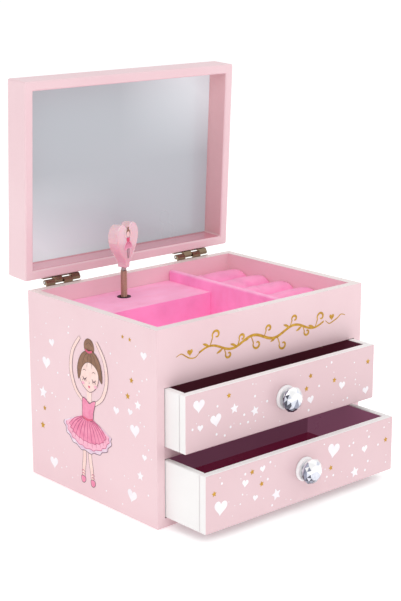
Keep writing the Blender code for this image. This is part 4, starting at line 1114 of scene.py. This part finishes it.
NODE_LOOKS = {
    "mirror": ("mirror",),
    "hinge": ("hinge_left_case_leaf", "hinge_left_lid_leaf", "hinge_right_case_leaf",
              "hinge_right_lid_leaf"),
    "steel": ("hinge_left_pin", "hinge_right_pin", "comb", "spindle", "mainspring", "winding_arbor",
              "winding_key", "governor_worm", "stop_wire", "upper_knob_screw", "lower_knob_screw"),
    "brass": ("cylinder_arbor", "music_cylinder", "spring_barrel", "governor_arbor"),
    "zinc": ("movement_frame",),
    "black": ("stem_bush", "air_brake"),
    "dowel": ("upper_peg_left", "upper_peg_right", "lower_peg"),
    "seat": ("upper_knob_seat", "lower_knob_seat"),
    "floor": ("lower_drawer_bottom",),
    # The upper drawer's floor takes the darker copy: painted shade.
    "floor_shaded": ("upper_drawer_bottom",),
    "bay": ("drawer_partition",),
    "heart": ("heart_topper",),
    "neck": ("heart_neck",),
}


def finish_nodes():
    """Give the visible CAD pieces their looks, all but the drawers' fronts and frames."""
    for look, names in NODE_LOOKS.items():
        for name in names:
            mesh = frame["nodes"][name].data
            coat(mesh, look)
            for face in mesh.polygons:
                face.material_index = 0


def area_light(name, place, target, size, power):
    light = bpy.data.lights.new(name, "AREA")
    light.energy = power
    light.size = size
    item = bpy.data.objects.new(name, light)
    item.location = place
    item.rotation_euler = (Vector(target) - Vector(place)).to_track_quat("-Z", "Y").to_euler()
    bpy.context.scene.collection.objects.link(item)


def build_studio():
    world = bpy.data.worlds.new("studio")
    world.use_nodes = True
    world.node_tree.nodes["Background"].inputs["Color"].default_value = (1, 1, 1, 1)
    world.node_tree.nodes["Background"].inputs["Strength"].default_value = 0.74
    bpy.context.scene.world = world
    bpy.context.scene.view_settings.view_transform = "Standard"
    middle = (0, 0, 0.1)
    area_light("key", (-0.9, -1.3, 1.5), middle, 1.2, 5)
    area_light("fill", (1.3, -0.9, 0.9), middle, 1.2, 1.5)
    area_light("top", (0, 0.1, 1.8), middle, 1.4, 6)
    bm = bmesh.new()
    bmesh.ops.create_grid(bm, x_segments=1, y_segments=1, size=60)
    floor = to_object("floor", bm, [])
    sweep = Look("floor_paper", (253, 253, 253), 0.9)
    add_glow(sweep, (255, 255, 255), 0.32).tint(3, (250, 250, 250)).bump(300, 0.02, 0.0001)
    floor.data.materials.append(sweep.material)
    floor.location = (0, 0, -0.0005)


def build_camera():
    camera = bpy.data.cameras.new("camera")
    camera.lens = 88.8
    camera.sensor_width = 36
    camera.dof.use_dof = False
    item = bpy.data.objects.new("camera", camera)
    item.location = (-0.63365, -0.71911, 0.36629)
    item.rotation_euler = (math.pi / 2 - 0.2536, 0, -0.7252)
    bpy.context.scene.collection.objects.link(item)
    bpy.context.scene.camera = item


finish_nodes()
build_case()
build_lid()
build_screws()
build_rolls()
build_velvet()
for drawer in ("upper", "lower"):
    dress_drawer(drawer)
build_spring()
build_marks()
build_flourish()
build_dancer()
build_heart_print()
build_studio()
build_camera()
